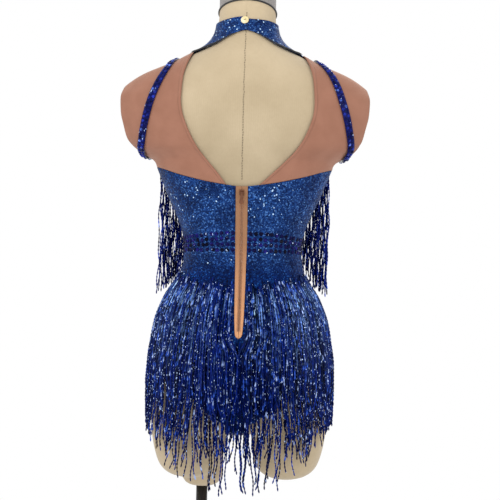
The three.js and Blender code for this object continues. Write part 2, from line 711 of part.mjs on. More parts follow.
function backYokes() {
  const edgeHeights = [yokeSeam(Math.PI / 2), ...armholeHeights, YOKE_TOP];
  const seamSide = (z) => Math.PI / 2 - gapAngle(z);
  for (const { side, turned } of SIDES) {
    const lean = turned ? -1 : 1;
    const keyhole = (z) => angleOf(keyholeAt(z) + lean * keyholeLeanAt(z), z, false);
    const armhole = (z) => angleOf(armholeBackAt(z) + lean * armholeLeanAt(z) - SEAM_GAP, z, false);
    const outer = (z) =>
      z <= ARMHOLE.bottom || z >= ARMHOLE.top ? seamSide(z) : Math.min(armhole(z), seamSide(z));
    const low = keyhole(KEYHOLE_LOW_Z);
    const geometry = panel({
      columns: 6,
      shares: sharesOf(edgeHeights),
      heightAt: (t, share) => lerp(yokeSeam(lerp(low, Math.PI / 2, t)), YOKE_TOP, share),
      firstEdge: keyhole,
      lastEdge: outer,
      thick: MESH_FABRIC,
      turned,
    });
    add(`yoke_back_${side}`, geometry, ink.net);
  }
}

function frontYokes() {
  const heights = [...UNDERARM_HEIGHTS, ...armholeHeights, SHOULDER_Z];
  const sideEdge = (z) => Math.PI / 2 + gapAngle(z);
  const besideArm = (z) => z > ARMHOLE.bottom && z < ARMHOLE.top;
  const armhole = (z) => (besideArm(z) ? angleOf(armholeFrontAt(z) - SEAM_GAP, z, true) : sideEdge(z));
  for (const { side, turned } of SIDES) {
    const geometry = panel({
      columns: 3,
      shares: sharesOf(heights),
      heightAt: (t, share) => lerp(heights[0], heights.at(-1), share),
      firstEdge: (z) => angleOf(halterAt(z) + SEAM_GAP + SEAM_EASE, z, true),
      lastEdge: (z) => Math.max(armhole(z), sideEdge(z)),
      thick: MESH_FABRIC,
      turned,
    });
    add(`yoke_front_${side}`, geometry, ink.net);
  }
}

// A point of a loop round the arm, on +X. Turn 0 is the underarm, 0.25 the back, 0.5 the shoulder and 0.75
// the front.
function loopAt(turn, bottom, top, backSeam, frontSeam) {
  const z = lerp(bottom, top, upLoop(turn));
  const isFront = turn > 0.5;
  return { z, angle: angleOf((isFront ? frontSeam : backSeam)(z), z, isFront) };
}

const CUFF_LOOP = { bottom: 1121, top: 1234 };
function armholeLoop(turn, turned, shift = 0) {
  const lean = turned ? -1 : 1;
  const backSeam = (z) => armholeBackAt(z) + lean * armholeLeanAt(z) + shift;
  const frontSeam = (z) => armholeFrontAt(z) + shift;
  return loopAt(turn, ARMHOLE.bottom, ARMHOLE.top, backSeam, frontSeam);
}
const cuffLoop = (turn) => loopAt(turn, CUFF_LOOP.bottom, CUFF_LOOP.top, cuffAt, cuffAt);

function sleeves() {
  const around = ARM_STEPS;
  const across = 3;
  for (const { side, turned } of SIDES) {
    const flip = turned ? -1 : 1;
    const geometry = wall(
      around,
      across,
      (c, r, lift) => {
        const turn = c / around;
        const seam = armholeLoop(turn, turned, SEAM_GAP);
        const cuff = cuffLoop(turn);
        const t = r / across;
        const z = lerp(seam.z, cuff.z, t);
        return offForm(flip * lerp(seam.angle, cuff.angle, t), z, lift);
      },
      FORM_GAP,
      FORM_GAP + MESH_FABRIC,
      true,
    );
    add(`sleeve_${side}`, geometry, ink.net);
  }
}

// The band of stones lies on the armhole seam, all the way round.
function bands() {
  const around = 32;
  const across = 2;
  for (const { side, turned } of SIDES) {
    const centre = (turn) => {
      const { z, angle } = armholeLoop((turn + 1) % 1, turned);
      const lift = BAND_LIFT + BAND_HOLLOW * (1 - upLoop(turn)) ** 6;
      return { at: offForm(angle, z, lift), out: outward(angle, z) };
    };
    const geometry = wall(
      around,
      across,
      (c, r, lift) => {
        const turn = c / around;
        const here = centre(turn);
        const along = centre(turn + 0.004).at.sub(centre(turn - 0.004).at).normalize();
        const sideways = along.clone().cross(here.out).normalize();
        const p = here.at.clone().addScaledVector(sideways, lerp(-BAND_HALF, BAND_HALF, r / across));
        const crown = r === 1 ? 0.35 : 0;
        p.addScaledVector(here.out, lift + (lift > 0 ? crown : 0));
        return turned ? p.setX(-p.x) : p;
      },
      0,
      BAND_THICK,
      true,
    );
    add(`armhole_band_${side}`, geometry, ink.stones);
  }
}

// ---------------------------------------------------------------- zip and button
const BACK = 0; // the angle of the middle of the back

function zip() {
  const heights = [797.3, 800, 804, 808, 828, 848, 868, 888, 908, 928, 948, 968, 988, 1008, 1026, 1044, 1060];
  for (const { side, turned } of SIDES) {
    const tape = panel({
      columns: 1,
      shares: sharesOf(heights),
      heightAt: (t, share) => lerp(heights[0], ZIP_TOP, share),
      firstEdge: (z) => angleOf(SEAM_GAP / 2, z, false),
      lastEdge: (z) => angleOf(zipHalfAt(z), z, false),
      thick: TAPE,
      turned,
    });
    add(`zip_tape_${side}`, tape, ink.zip);
  }
  const coilHeights = heights.slice(3, -1).concat(SLIDER_Z - 5.5);
  const coil = wall(
    2,
    coilHeights.length - 1,
    (c, r, lift) => {
      const z = coilHeights[r];
      const crown = c === 1 && lift > 0 ? 0.4 : 0;
      const p = offForm(BACK, z, FORM_GAP + TAPE + SEAM_GAP + lift + crown);
      return p.setX(lerp(-COIL_HALF, COIL_HALF, c / 2));
    },
    0,
    COIL_HIGH - 0.4,
  );
  add("zip_coil", coil, ink.zip);
}

const SLIDER = { half: 4.2, high: 9, thick: 3.2, ear: 1.4, earHalf: 2.1, pin: 0.55, pinOut: 2.4 };
const PULL = { bore: 0.9, knuckle: 1.6, half: 1.8, length: 20, wide: 3.8, thick: 1.1 };

// A flat plate of a shape.
function plate(shape, depth) {
  return new THREE.ExtrudeGeometry(shape, { depth, bevelEnabled: false, curveSegments: 5 });
}

// The slider sits on the tape at the top of the coil; the pull hangs from the pin between its two ears.
function slider() {
  const out = outward(BACK, SLIDER_Z);
  const lean = Math.atan2(-out.z, -out.y);
  const seat = offForm(BACK, SLIDER_Z, FORM_GAP + TAPE + SEAM_GAP);

  const body = new THREE.BoxGeometry(2 * SLIDER.half, SLIDER.thick, SLIDER.high);
  body.translate(0, -SLIDER.thick / 2, 0);
  const earShape = new THREE.Shape();
  earShape.moveTo(-2.6, 0.5);
  earShape.lineTo(2.6, 0.5);
  earShape.lineTo(1.5, -SLIDER.pinOut);
  earShape.absarc(0, -SLIDER.pinOut, 1.5, 0, -Math.PI, true);
  earShape.closePath();
  const ears = [-1, 1].map((side) => {
    const ear = plate(earShape, SLIDER.ear);
    // Shape x runs along the zip and shape y runs out from it.
    ear.rotateY(-Math.PI / 2);
    ear.translate(side * (SLIDER.earHalf + SLIDER.ear / 2) + SLIDER.ear / 2, -SLIDER.thick, 0);
    return ear;
  });
  const pin = new THREE.CylinderGeometry(SLIDER.pin, SLIDER.pin, 2 * SLIDER.earHalf + 0.6, 8);
  pin.rotateZ(Math.PI / 2);
  pin.translate(0, -SLIDER.thick - SLIDER.pinOut, 0);
  const mesh = add("zip_slider", joined(body, ...ears, pin), ink.zipMetal);
  mesh.position.copy(seat);
  mesh.rotation.x = lean;

  const hinge = new THREE.Vector3(0, -SLIDER.thick - SLIDER.pinOut, 0);
  pull(hinge.applyEuler(mesh.rotation).add(seat));
}

// The pull's own origin is on the pin, and it hangs along -Z.
function pull(hinge) {
  const ring = new THREE.Shape();
  ring.absarc(0, 0, PULL.knuckle, 0, 2 * Math.PI, false);
  const bore = new THREE.Path();
  bore.absarc(0, 0, PULL.bore, 0, 2 * Math.PI, true);
  ring.holes.push(bore);
  const knuckle = plate(ring, 2 * PULL.half);
  knuckle.rotateY(Math.PI / 2);
  knuckle.translate(-PULL.half, 0, 0);

  const leaf = new THREE.Shape();
  leaf.moveTo(-PULL.half, -PULL.bore - 0.25);
  leaf.lineTo(-PULL.half, -4.6);
  leaf.bezierCurveTo(-PULL.half, -8, -PULL.wide, -12, -PULL.wide, -PULL.length + PULL.wide);
  leaf.absarc(0, -PULL.length + PULL.wide, PULL.wide, Math.PI, 2 * Math.PI, false);
  leaf.bezierCurveTo(PULL.wide, -12, PULL.half, -8, PULL.half, -4.6);
  leaf.lineTo(PULL.half, -PULL.bore - 0.25);
  leaf.closePath();
  const tab = plate(leaf, PULL.thick);
  tab.rotateX(Math.PI / 2);
  tab.translate(0, PULL.thick / 2, 0);
  const mesh = add("zip_pull", joined(knuckle, tab), ink.zipMetal);
  mesh.position.copy(hinge);
}

function button() {
  const rim = [[0, 0], [5.2, 0], [7, 1], [7, 2.2], [5.6, 3], [4.6, 2.3], [0, 2.3]];
  const disc = new THREE.LatheGeometry(rim.map(([r, h]) => new THREE.Vector2(r, h)), 14);
  const angle = deg(BUTTON.angle);
  const mesh = add("collar_button", disc, ink.gold);
  mesh.quaternion.setFromUnitVectors(new THREE.Vector3(0, 1, 0), outward(angle, BUTTON.z));
  mesh.position.copy(offForm(angle, BUTTON.z, CLOTH + 0.4));
}

// ---------------------------------------------------------------- fringe
// A repeatable spread of values from 0 to 1.
const scatter = (n) => {
  const v = Math.sin(n * 12.9898 + 4.1414) * 43758.5453;
  return v - Math.floor(v);
};

// A strip with strands hanging from it, as one solid. stations(i) gives a strand's two stations, each with
// the outer and inner points of the strip's top and bottom. path(i) gives its rings of three points, from the
// top.
function comb(count, stations, path) {
  const points = [];
  const triangles = [];
  const put = (p) => points.push(p) - 1;
  const quad = (a, b, c, d) => triangles.push([a, b, c], [a, c, d]);
  const placed = [];
  for (let i = 0; i < count; i++) {
    for (const { outerTop, innerTop, outerBottom, innerBottom } of stations(i)) {
      placed.push({ ot: put(outerTop), it: put(innerTop), ob: put(outerBottom), ib: put(innerBottom) });
    }
  }
  for (let i = 0; i + 1 < placed.length; i++) {
    const [a, b] = [placed[i], placed[i + 1]];
    quad(a.ot, a.ob, b.ob, b.ot);
    quad(a.it, b.it, b.ib, a.ib);
    quad(a.ot, b.ot, b.it, a.it);
    if (i % 2 === 1) quad(a.ob, a.ib, b.ib, b.ob);
  }
  const first = placed[0];
  const last = placed[placed.length - 1];
  quad(first.ot, first.it, first.ib, first.ob);
  quad(last.ot, last.ob, last.ib, last.it);
  for (let i = 0; i < count; i++) {
    const [a, b] = [placed[2 * i], placed[2 * i + 1]];
    const rings = path(i).map(({ apex, left, right }) => ({ p: put(apex), l: put(left), r: put(right) }));
    const root = rings[0];
    triangles.push([a.ob, root.p, b.ob], [a.ob, root.l, root.p], [a.ob, a.ib, root.l]);
    triangles.push([b.ob, root.p, root.r], [b.ob, root.r, b.ib]);
    triangles.push([a.ib, b.ib, root.r], [a.ib, root.r, root.l]);
    rings.slice(1).forEach((low, k) => {
      const up = rings[k];
      quad(up.p, up.l, low.l, low.p);
      quad(up.r, up.p, low.p, low.r);
      quad(up.l, up.r, low.r, low.l);
    });
    const end = rings[rings.length - 1];
    triangles.push([end.p, end.l, end.r]);
  }
  return geometryOf(points, triangles);
}

// The three corners of a strand round its middle line.
function strandRing(at, out, along, wide = STRAND_WIDE) {
  const half = wide / 2;
  return {
    apex: at.clone().addScaledVector(out, STRAND_THICK / 2),
    left: at.clone().addScaledVector(out, -STRAND_THICK / 2).addScaledVector(along, -half),
    right: at.clone().addScaledVector(out, -STRAND_THICK / 2).addScaledVector(along, half),
  };
}

const UP = new THREE.Vector3(0, 0, 1);
const level = (v) => new THREE.Vector3(v.x, v.y, 0).normalize();

// A strand from the hip lies on the hip as far as it swells, and hangs straight down from there.
function hipStrand(angle, top, length, { lift, flare, place }, seed) {
  const out = level(outward(angle, top));
  const along = UP.clone().cross(out);
  const at = offForm(angle, top, CLOTH + lift);
  const rings = [];
  for (let k = 1; k <= BEND_STEPS; k++) {
    const share = k / BEND_STEPS;
    const z = top - length * share;
    const next = offForm(angle, Math.max(z, CROTCH_Z), CLOTH + lift);
    if (next.dot(out) > at.dot(out)) at.copy(next);
    at.z = z;
    if (!HIP_BENDS[place].includes(k) && k < BEND_STEPS) continue;
    const sway = 7 * (scatter(seed) - 0.5) * share ** 2;
    const flareOut = flare * scatter(seed + 0.5) * share ** 2;
    const swung = at.clone().addScaledVector(along, sway).addScaledVector(out, flareOut);
    rings.push(strandRing(swung, out, along));
  }
  return rings;
}

function hipFringe(row, rowNumber) {
  const rootZ = (angle) => lerp(row.middle, row.side, Math.sin(angle) ** 2);
  const startAt = angleOf(row.opening, row.middle, false);
  const angleFor = (i) => lerp(startAt, 2 * Math.PI - startAt, i / (HIP_STRANDS - 1));
  const stations = (i) => {
    const angle = angleFor(i);
    const z = rootZ(angle);
    const out = level(outward(angle, z));
    const along = UP.clone().cross(out);
    return [-1, 1].map((s) => {
      const place = (height, far) =>
        offForm(angle, height, CLOTH + far).addScaledVector(along, (s * STRAND_WIDE) / 2);
      return {
        outerTop: place(z + STRIP_HIGH / 2, STRIP_LIFT + STRIP_THICK),
        innerTop: place(z + STRIP_HIGH / 2, STRIP_LIFT),
        outerBottom: place(z - STRIP_HIGH / 2, STRIP_LIFT + STRIP_THICK),
        innerBottom: place(z - STRIP_HIGH / 2, STRIP_LIFT),
      };
    });
  };
  const path = (i) => {
    const angle = angleFor(i);
    const seed = rowNumber * 97 + i;
    const whole = lerp(row.length, row.sideLength, Math.sin(angle) ** 2);
    const length = whole * lerp(0.94, 1.04, scatter(seed + 0.3)) - STRIP_HIGH;
    return hipStrand(angle, rootZ(angle) - STRIP_HIGH / 2, length, row, seed);
  };
  add(`hip_fringe_${row.place}`, comb(HIP_STRANDS, stations, path), ink.beads);
}

// The arm fringe hangs from the edge of the halter front, in front of the chest and beside the waist.
function armFringe({ side, turned }) {
  const mirrored = (p) => (turned ? p.setX(-p.x) : p);
  const rootAt = (i) => {
    const x = lerp(ARM_ROOTS.outer, ARM_ROOTS.inner, i / (ARM_STRANDS - 1));
    const z = halterHeightAt(x);
    return { z, angle: angleOf(x - ARM_ROOT_IN, z, true) };
  };
  const centre = (i) => {
    const { z, angle } = rootAt(i);
    return offForm(angle, z, CLOTH + STRIP_LIFT);
  };
  const stations = (i) => {
    const { z, angle } = rootAt(i);
    const out = outward(angle, z);
    const along = centre(i + 0.1).sub(centre(i - 0.1)).normalize();
    const down = out.clone().cross(along).normalize();
    if (down.z > 0) down.negate();
    return [-1, 1].map((s) => {
      const place = (low, far) => {
        const p = centre(i).addScaledVector(along, (s * ARM_STRAND_WIDE) / 2);
        return mirrored(p.addScaledVector(down, low).addScaledVector(out, far));
      };
      return {
        outerTop: place(-ARM_STRIP_HIGH / 2, STRIP_THICK),
        innerTop: place(-ARM_STRIP_HIGH / 2, 0),
        outerBottom: place(ARM_STRIP_HIGH / 2, STRIP_THICK),
        innerBottom: place(ARM_STRIP_HIGH / 2, 0),
      };
    });
  };
  const path = (i) => {
    const { z, angle } = rootAt(i);
    const out = new THREE.Vector3(0.3, 1, 0).normalize();
    const along = UP.clone().cross(out).negate();
    const at = offForm(angle, z, CLOTH + ARM_LIFT + ARM_STAGGER * (i % 2));
    const top = z - ARM_STRIP_HIGH;
    const length = ARM_STRAND_LENGTH * lerp(0.95, 1.05, scatter(400 + i));
    at.x += ARM_ROOT_IN;
    const rings = [];
    for (let k = 1; k <= BEND_STEPS; k++) {
      at.z = top - (length * k) / BEND_STEPS;
      if (at.x < halfWidthAt(at.z)) {
        const chest = formPoint(angleOf(at.x, at.z, true), at.z);
        at.y = Math.max(at.y, chest.y + CLOTH + ARM_LIFT + ARM_STAGGER * (i % 2));
      }
      if (!ARM_BENDS.includes(k) && k < BEND_STEPS) continue;
      const ring = strandRing(at, out, along, ARM_STRAND_WIDE);
      Object.values(ring).forEach(mirrored);
      rings.push(ring);
    }
    return rings;
  };
  add(`arm_fringe_${side}`, comb(ARM_STRANDS, stations, path), ink.beads);
}

// ---------------------------------------------------------------- assembly
dressForm();
stand();
front();
backs();
gusset();
collars();
backYokes();
frontYokes();
sleeves();
bands();
zip();
slider();
button();
HIP_ROWS.forEach(hipFringe);
SIDES.forEach(armFringe);

export default model;
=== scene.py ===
"""Looks of the rhinestone tassel bodysuit on its dress form.

Sizes are in millimetres, as in the CAD, and each mesh is written in metres. Angles run round the form:
0 is the middle of the back, a quarter turn is +X and half a turn is the middle of the front.
"""

import math

import bpy
import mathutils
import numpy as np
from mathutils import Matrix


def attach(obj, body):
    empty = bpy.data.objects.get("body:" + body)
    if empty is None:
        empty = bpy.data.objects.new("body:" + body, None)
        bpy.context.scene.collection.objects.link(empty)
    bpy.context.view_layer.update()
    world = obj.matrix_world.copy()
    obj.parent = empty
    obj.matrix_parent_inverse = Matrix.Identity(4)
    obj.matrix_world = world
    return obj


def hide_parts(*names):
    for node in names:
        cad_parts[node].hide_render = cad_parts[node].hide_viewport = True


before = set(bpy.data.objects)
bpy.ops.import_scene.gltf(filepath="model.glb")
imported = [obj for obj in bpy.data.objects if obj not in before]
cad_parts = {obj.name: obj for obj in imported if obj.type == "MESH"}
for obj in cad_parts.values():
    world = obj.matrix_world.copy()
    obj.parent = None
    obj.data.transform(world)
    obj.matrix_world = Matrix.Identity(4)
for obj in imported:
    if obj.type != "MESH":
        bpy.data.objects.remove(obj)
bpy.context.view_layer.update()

MM = 0.001
BODY = "garment_on_form"
TURN = 2 * math.pi
HALF = math.pi
QUARTER = math.pi / 2
random = np.random.default_rng(20260)

# ---- sizes, as in the CAD
FORM_INSET = 1.8
FORM_GAP = 1.3
FABRIC = 1.4
NET = 1.0
CLOTH = FORM_GAP + FABRIC
SEAM_GAP = 0.3
SEAM_EASE = 0.3
CUFF_INSET = 4
SIDE_LEG_Z = 812
CROTCH_SEAM_Z = 648
CROTCH_Z = 640
CROTCH_DROP = 15
GUSSET_HALF = 20
UNDERARM_Z = 1100
FRONT_YOKE_LOW = 1101
SHOULDER_Z = 1289
ZIP_BOTTOM = 797
ZIP_TOP = 1060
TAPE = 1.0
SLIDER_Z = 1050
COIL_HIGH = 1.5
BAND_HALF = 7
BAND_LIFT = 3.9
BAND_HOLLOW = 1.3
BAND_THICK = 2
NECK_EDGE_Z = 1374
NECK_EDGE_SLOPE = 0.32
NECK_CAP_TOP = 1424
CAP_ROUND = 4  # how high the rounding of the cap's edge is
CAP_INSET = 5  # and how far it goes in
PIPING_R = 1.8
POLE = (-64, -4)
POLE_R = 10
POLE_ENDS = (23.3, 526.7)
BASE_R = 170
BASE_HIGH = 8
HUB_HIGH = 16
ARMHOLE_BOTTOM_RANGE = (1102, 1122)
ARMHOLE_TOP_RANGE = (1270, 1298)
YOKE_TOP = 1296
KEYHOLE_LOW_Z = 1063
CUFF_LOW = 1121
CUFF_TOP_RANGE = (1232, 1249)
COLLAR_TOP = {"back": 1356.5, "side": 1352, "front": 1342}
BUTTON = {"angle": -2.5, "z": 1351}


def table(columns, rows):
    """A table as one array for each named column."""
    return dict(zip(columns.split(), np.array(rows, float).T))


# The form's sections. back, front and side are the y of the middle of the back, the middle of the front
# and the widest point. square is the superellipse exponent.
SECTIONS = table(
    "z half_width back front side square",
    [
        (600, 155, -92, 80, -4, 2.3),
        (640, 157, -103, 86, -4, 2.3),
        (670, 157.5, -112, 91, -4, 2.3),
        (705, 157.5, -118, 96, -3, 2.3),
        (745, 157, -119, 100, -2, 2.3),
        (785, 152.5, -114, 102, 0, 2.25),
        (825, 145.5, -103, 100, 1, 2.2),
        (865, 130.5, -91, 95, 2, 2.2),
        (900, 112.5, -82, 90, 3, 2.2),
        (930, 104, -78, 87, 4, 2.2),
        (955, 102.5, -78, 88, 4, 2.2),
        (985, 108.5, -82, 92, 3, 2.2),
        (1015, 120, -89, 97, 2, 2.2),
        (1045, 134, -97, 102, 0, 2.15),
        (1075, 146, -104.5, 104, -1, 2.1),
        (1097, 155, -109, 102, -3, 2.05),
        (1103, 157, -110, 101, -3.5, 2.02),
        (1109, 161.5, -111, 100, -4, 2),
        (1119, 179, -112.5, 98, -5, 2),
        (1130, 203, -114, 96, -6, 2),
        (1145, 220, -115.5, 93, -7, 2),
        (1165, 231, -116.5, 89, -8, 2),
        (1190, 237, -116, 83, -9, 2),
        (1215, 234, -113, 76, -10, 2),
        (1232, 220, -110, 71, -10, 2),
        (1249, 199, -106, 65, -10, 2),
        (1260, 180, -102.5, 60, -10, 2),
        (1270, 156.5, -99, 56, -10, 2),
        (1281, 129.5, -95, 51, -10, 2),
        (1292, 109, -90.5, 47, -10, 2),
        (1303, 87.5, -86, 44, -10, 2),
        (1314, 71.5, -80, 43, -10, 2),
        (1325, 62, -74, 43.5, -9, 2),
        (1338, 56, -68, 45, -8, 2),
        (1352, 53.5, -63, 47, -6, 2),
        (1372, 52.5, -58, 49, -3, 2),
        (1400, 52.5, -55, 51, -2, 2),
        (1430, 52.5, -54, 52, -1, 2),
    ],
)
CUFFS = table(
    "z x",
    [
        (1097, 158), (1112, 166), (1121, 181), (1130, 194), (1145, 206), (1165, 211.5),
        (1190, 217), (1215, 218.5), (1232, 215), (1249, 208), (1270, 196),
    ],
)
# A thigh end on +X: the x of its inner and outer side and the y of its back and front.
THIGHS = table(
    "z inner outer back front",
    [
        (545, 66, 101, -42, 28),
        (550, 50, 120, -62, 48),
        (558, 38, 133, -75, 61),
        (570, 30, 142, -83, 69),
        (590, 25, 149, -87, 73),
        (608, 23, 153, -88, 74),
        (640, 23, 157, -86, 72),
        (690, 24, 150, -78, 66),
    ],
)
THIGH_POWER = 0.87
# The pole's socket: radius and height.
SOCKET = [(0.3, 527), (20, 527), (30, 532), (36, 542), (38, 556), (38, 590), (0.3, 590)]
# Seams and edges of the yoke: at each height, half the distance from side to side and the lean to +X.
KEYHOLE = table(
    "z x lean",
    [
        (1058, 12, 0), (1062, 26, 0.6), (1071, 36, 3), (1083, 47, 4.7), (1104, 66.8, 6.4),
        (1124, 84, 7.6), (1145, 97, 8.2), (1166, 106.3, 8), (1187, 112.8, 7.5), (1207, 114.8, 6.8),
        (1228, 113.9, 6.5), (1249, 112, 6.3), (1270, 106.7, 6), (1288, 100, 5), (1298, 95, 4),
    ],
)
ARMHOLE_BACK = table(
    "z x lean",
    [
        (1102, 157, 0), (1112, 169, 0), (1119, 178.5, 0), (1129, 182, 3), (1142, 180.4, 4.6),
        (1156, 178, 4.6), (1183, 172.3, 4.7), (1210, 164.3, 4.5), (1237, 153.8, 5), (1250, 147.3, 5),
        (1264, 139, 4), (1277, 130, 1.3), (1284, 124, 0), (1292, 114, 0), (1298, 104, 0),
    ],
)
ARMHOLE_FRONT = table(
    "z x",
    [
        (1102, 157), (1112, 167), (1119, 174), (1130, 176), (1153, 171), (1188, 164), (1222, 158),
        (1250, 148), (1264, 139), (1277, 130), (1284, 124), (1292, 114), (1298, 104),
    ],
)
HALTER = table(
    "z x",
    [
        (1099, 158), (1108, 147), (1120, 133), (1134, 121), (1150, 112), (1175, 105),
        (1205, 103), (1235, 104), (1262, 107), (1276, 110), (1286, 112), (1296, 112),
    ],
)
YOKE_SEAM = table("x z", [(10, 1061), (35, 1064), (57, 1067.5), (84, 1073.4), (109, 1080.3), (153, 1097)])
ZIP_TAPE = table(
    "z half",
    [
        (797, 0.8), (800, 4.8), (806, 6.5), (850, 8.5), (925, 9.4), (967, 10.2), (1061, 10.3),
    ],
)
COLLAR_LOWER = table(
    "angle z",
    [
        (0, 1334), (13, 1330.5), (22, 1326.5), (32, 1320.5), (44, 1310),
        (55, 1303.3), (62, 1298.8), (75, 1297.8), (90, 1297.5),
    ],
)
BUST = {"x": 78, "z": 1082, "lift": 27, "wide": 56, "above": 64, "below": 50}
SEAT = {"x": 72, "z": 728, "lift": 7, "wide": 55, "high": 60}


# ---- curves and surface
def lerp(a, b, t):
    return a + (b - a) * t


def smooth(x):
    """0 below 0, 1 above 1 and a soft step between."""
    x = np.clip(x, 0, 1)
    return x * x * (3 - 2 * x)


def curve(k, v):
    """A smooth curve through the values v at the places k, which never overshoots them."""
    slope = np.diff(v) / np.diff(k)
    a, b = slope[:-1], slope[1:]
    total = np.where(a * b > 0, a + b, 1)
    inner = np.where(a * b > 0, 2 * a * b / total, 0)
    tangent = np.concatenate([slope[:1], inner, slope[-1:]])

    def at(x):
        x = np.clip(x, k[0], k[-1])
        i = np.clip(np.searchsorted(k, x) - 1, 0, len(k) - 2)
        step = k[i + 1] - k[i]
        t = (x - k[i]) / step
        t2, t3 = t * t, t * t * t
        start = v[i] * (2 * t3 - 3 * t2 + 1) + tangent[i] * step * (t3 - 2 * t2 + t)
        return start + v[i + 1] * (3 * t2 - 2 * t3) + tangent[i + 1] * step * (t3 - t2)

    return at


def curves(rows):
    """A smooth curve for each column of a table after its first, which they are all read against."""
    key, *values = rows.values()
    return [curve(key, value) for value in values]


half_width_at, back_at, front_at, side_at, square_at = curves(SECTIONS)
keyhole_at, keyhole_lean_at = curves(KEYHOLE)
armhole_back_at, armhole_lean_at = curves(ARMHOLE_BACK)
[cuff_at] = curves(CUFFS)
[halter_at] = curves(HALTER)
[armhole_front_at] = curves(ARMHOLE_FRONT)
[yoke_seam_at] = curves(YOKE_SEAM)
[collar_lower_at] = curves(COLLAR_LOWER)
[zip_half_at] = curves(ZIP_TAPE)


def bell(distance, width):
    return np.exp(-((distance / width) ** 2))


def form_point(angle, z):
    """The fitted surface: a point for each angle and height."""
    angle, z = np.broadcast_arrays(np.asarray(angle, float), np.asarray(z, float))
    power = 2 / square_at(z)
    s, c = np.sin(angle), np.cos(angle)
    x = half_width_at(z) * np.sign(s) * np.abs(s) ** power
    end = np.where(c > 0, back_at(z), front_at(z))
    y = side_at(z) + (end - side_at(z)) * np.abs(c) ** power
    high = np.where(z > BUST["z"], BUST["above"], BUST["below"])
    bust = BUST["lift"] * bell(np.abs(x) - BUST["x"], BUST["wide"]) * bell(z - BUST["z"], high)
    seat = SEAT["lift"] * bell(np.abs(x) - SEAT["x"], SEAT["wide"]) * bell(z - SEAT["z"], SEAT["high"])
    y = y + bust * np.clip(-2 * c, 0, 1) - seat * np.clip(2 * c, 0, 1)
    return np.stack([x, y, z], axis=-1)


def unit(v):
    return v / np.linalg.norm(v, axis=-1, keepdims=True)


def outward(angle, z):
    across = form_point(angle + 0.01, z) - form_point(angle - 0.01, z)
    up = form_point(angle, z + 0.6) - form_point(angle, z - 0.6)
    return unit(np.cross(across, up))


def off_form(angle, z, lift):
    return form_point(angle, z) + outward(angle, z) * np.asarray(lift, float)[..., None]


def angle_of(x, z, front):
    """The angle, in the back or front quarter on +X, at which the section reaches x."""
    share = np.clip(x / half_width_at(z), 0, 1) ** (square_at(z) / 2)
    angle = np.arcsin(share)
    return HALF - angle if front else angle


def gap_angle(z):
    """A small angle that leaves half a seam gap at this height."""
    return SEAM_GAP / 2 / np.minimum(-back_at(z), front_at(z))


# ---- materials
def feed(tree, socket, value):
    """Links a socket to an input, or sets the input to any other value."""
    if isinstance(value, bpy.types.NodeSocket):
        tree.links.new(value, socket)
    else:
        socket.default_value = value


def node(tree, kind, settings=None, **inputs):
    """A shader node with its settings and inputs."""
    made = tree.nodes.new("ShaderNode" + kind)
    for key, value in (settings or {}).items():
        setattr(made, key, value)
    for key, value in inputs.items():
        feed(tree, made.inputs[key.replace("_", " ")], value)
    return made


def fresh(name, **shader_inputs):
    """A new material, its node tree and its shader."""
    material = bpy.data.materials.new(name)
    material.use_nodes = True
    tree = material.node_tree
    shader = next(n for n in tree.nodes if n.type == "BSDF_PRINCIPLED")
    for key, value in shader_inputs.items():
        shader.inputs[key.replace("_", " ")].default_value = value
    return material, tree, shader


def rgb(r, g, b):
    """A colour as seen on screen, from 0 to 255, made linear."""
    linear = [((c / 255 + 0.055) / 1.055) ** 2.4 if c > 10 else c / 255 / 12.92 for c in (r, g, b)]
    return (*linear, 1)


def math_node(tree, operation, a, b, kind="Math"):
    """The outcome of a number or vector operation."""
    made = node(tree, kind, {"operation": operation})
    feed(tree, made.inputs[0], a)
    feed(tree, made.inputs[1], b)
    return next(output for output in made.outputs if output.enabled)


def mix(tree, share, a, b, blend="MIX"):
    """A colour between a and b."""
    made = node(tree, "Mix", {"data_type": "RGBA", "blend_type": blend})
    for place, value in ((0, share), (6, a), (7, b)):
        feed(tree, made.inputs[place], value)
    return made.outputs[2]


def multiplied(tree, a, b):
    """The product of two colours."""
    return mix(tree, 1.0, a, b, "MULTIPLY")


def paint(tree, shader, color, normal=None):
    """Links a colour to the shader, and a normal if there is one."""
    tree.links.new(color, shader.inputs["Base Color"])
    if normal is not None:
        tree.links.new(normal, shader.inputs["Normal"])


def ramp(tree, share, *stops):
    """A colour ramp through (place, colour) stops."""
    made = node(tree, "ValToRGB", Fac=share)
    elements = made.color_ramp.elements
    while len(elements) < len(stops):
        elements.new(0.5)
    for element, (place, color) in zip(elements, stops):
        element.position = place
        element.color = color
    return made.outputs["Color"]


def bump(tree, height, distance, strength=1.0, normal=None):
    made = node(tree, "Bump", Height=height, Distance=distance, Strength=strength)
    if normal is not None:
        tree.links.new(normal, made.inputs["Normal"])
    return made.outputs["Normal"]


def object_place(tree):
    return node(tree, "TexCoord").outputs["Object"]


def noise(tree, size, detail=2.0):
    """Soft noise whose lumps are about this many millimetres across."""
    return node(tree, "TexNoise", Vector=object_place(tree), Scale=1000 / size, Detail=detail).outputs["Fac"]


def span(tree, value, low, high, to_low, to_high):
    """A value that changes steadily from to_low to to_high while another goes from low to high."""
    made = node(
        tree, "MapRange", Value=value, From_Min=low, From_Max=high, To_Min=to_low, To_Max=to_high,
    )
    return made.outputs[0]


WAVE_SCALE = 157  # at this scale a wave texture rises or falls once a millimetre


def weave(tree, pitch):
    """A plain weave over the cloth's own coordinates, with threads and gaps this many millimetres wide."""
    place = node(tree, "TexCoord").outputs["UV"]
    threads = []
    for way in ("X", "Y"):
        settings = {"wave_type": "BANDS", "bands_direction": way}
        thread = node(
            tree, "TexWave", settings, Vector=place, Scale=WAVE_SCALE / pitch, Distortion=0.6, Detail=1.0,
        )
        threads.append(thread.outputs["Fac"])
    return math_node(tree, "MAXIMUM", *threads)


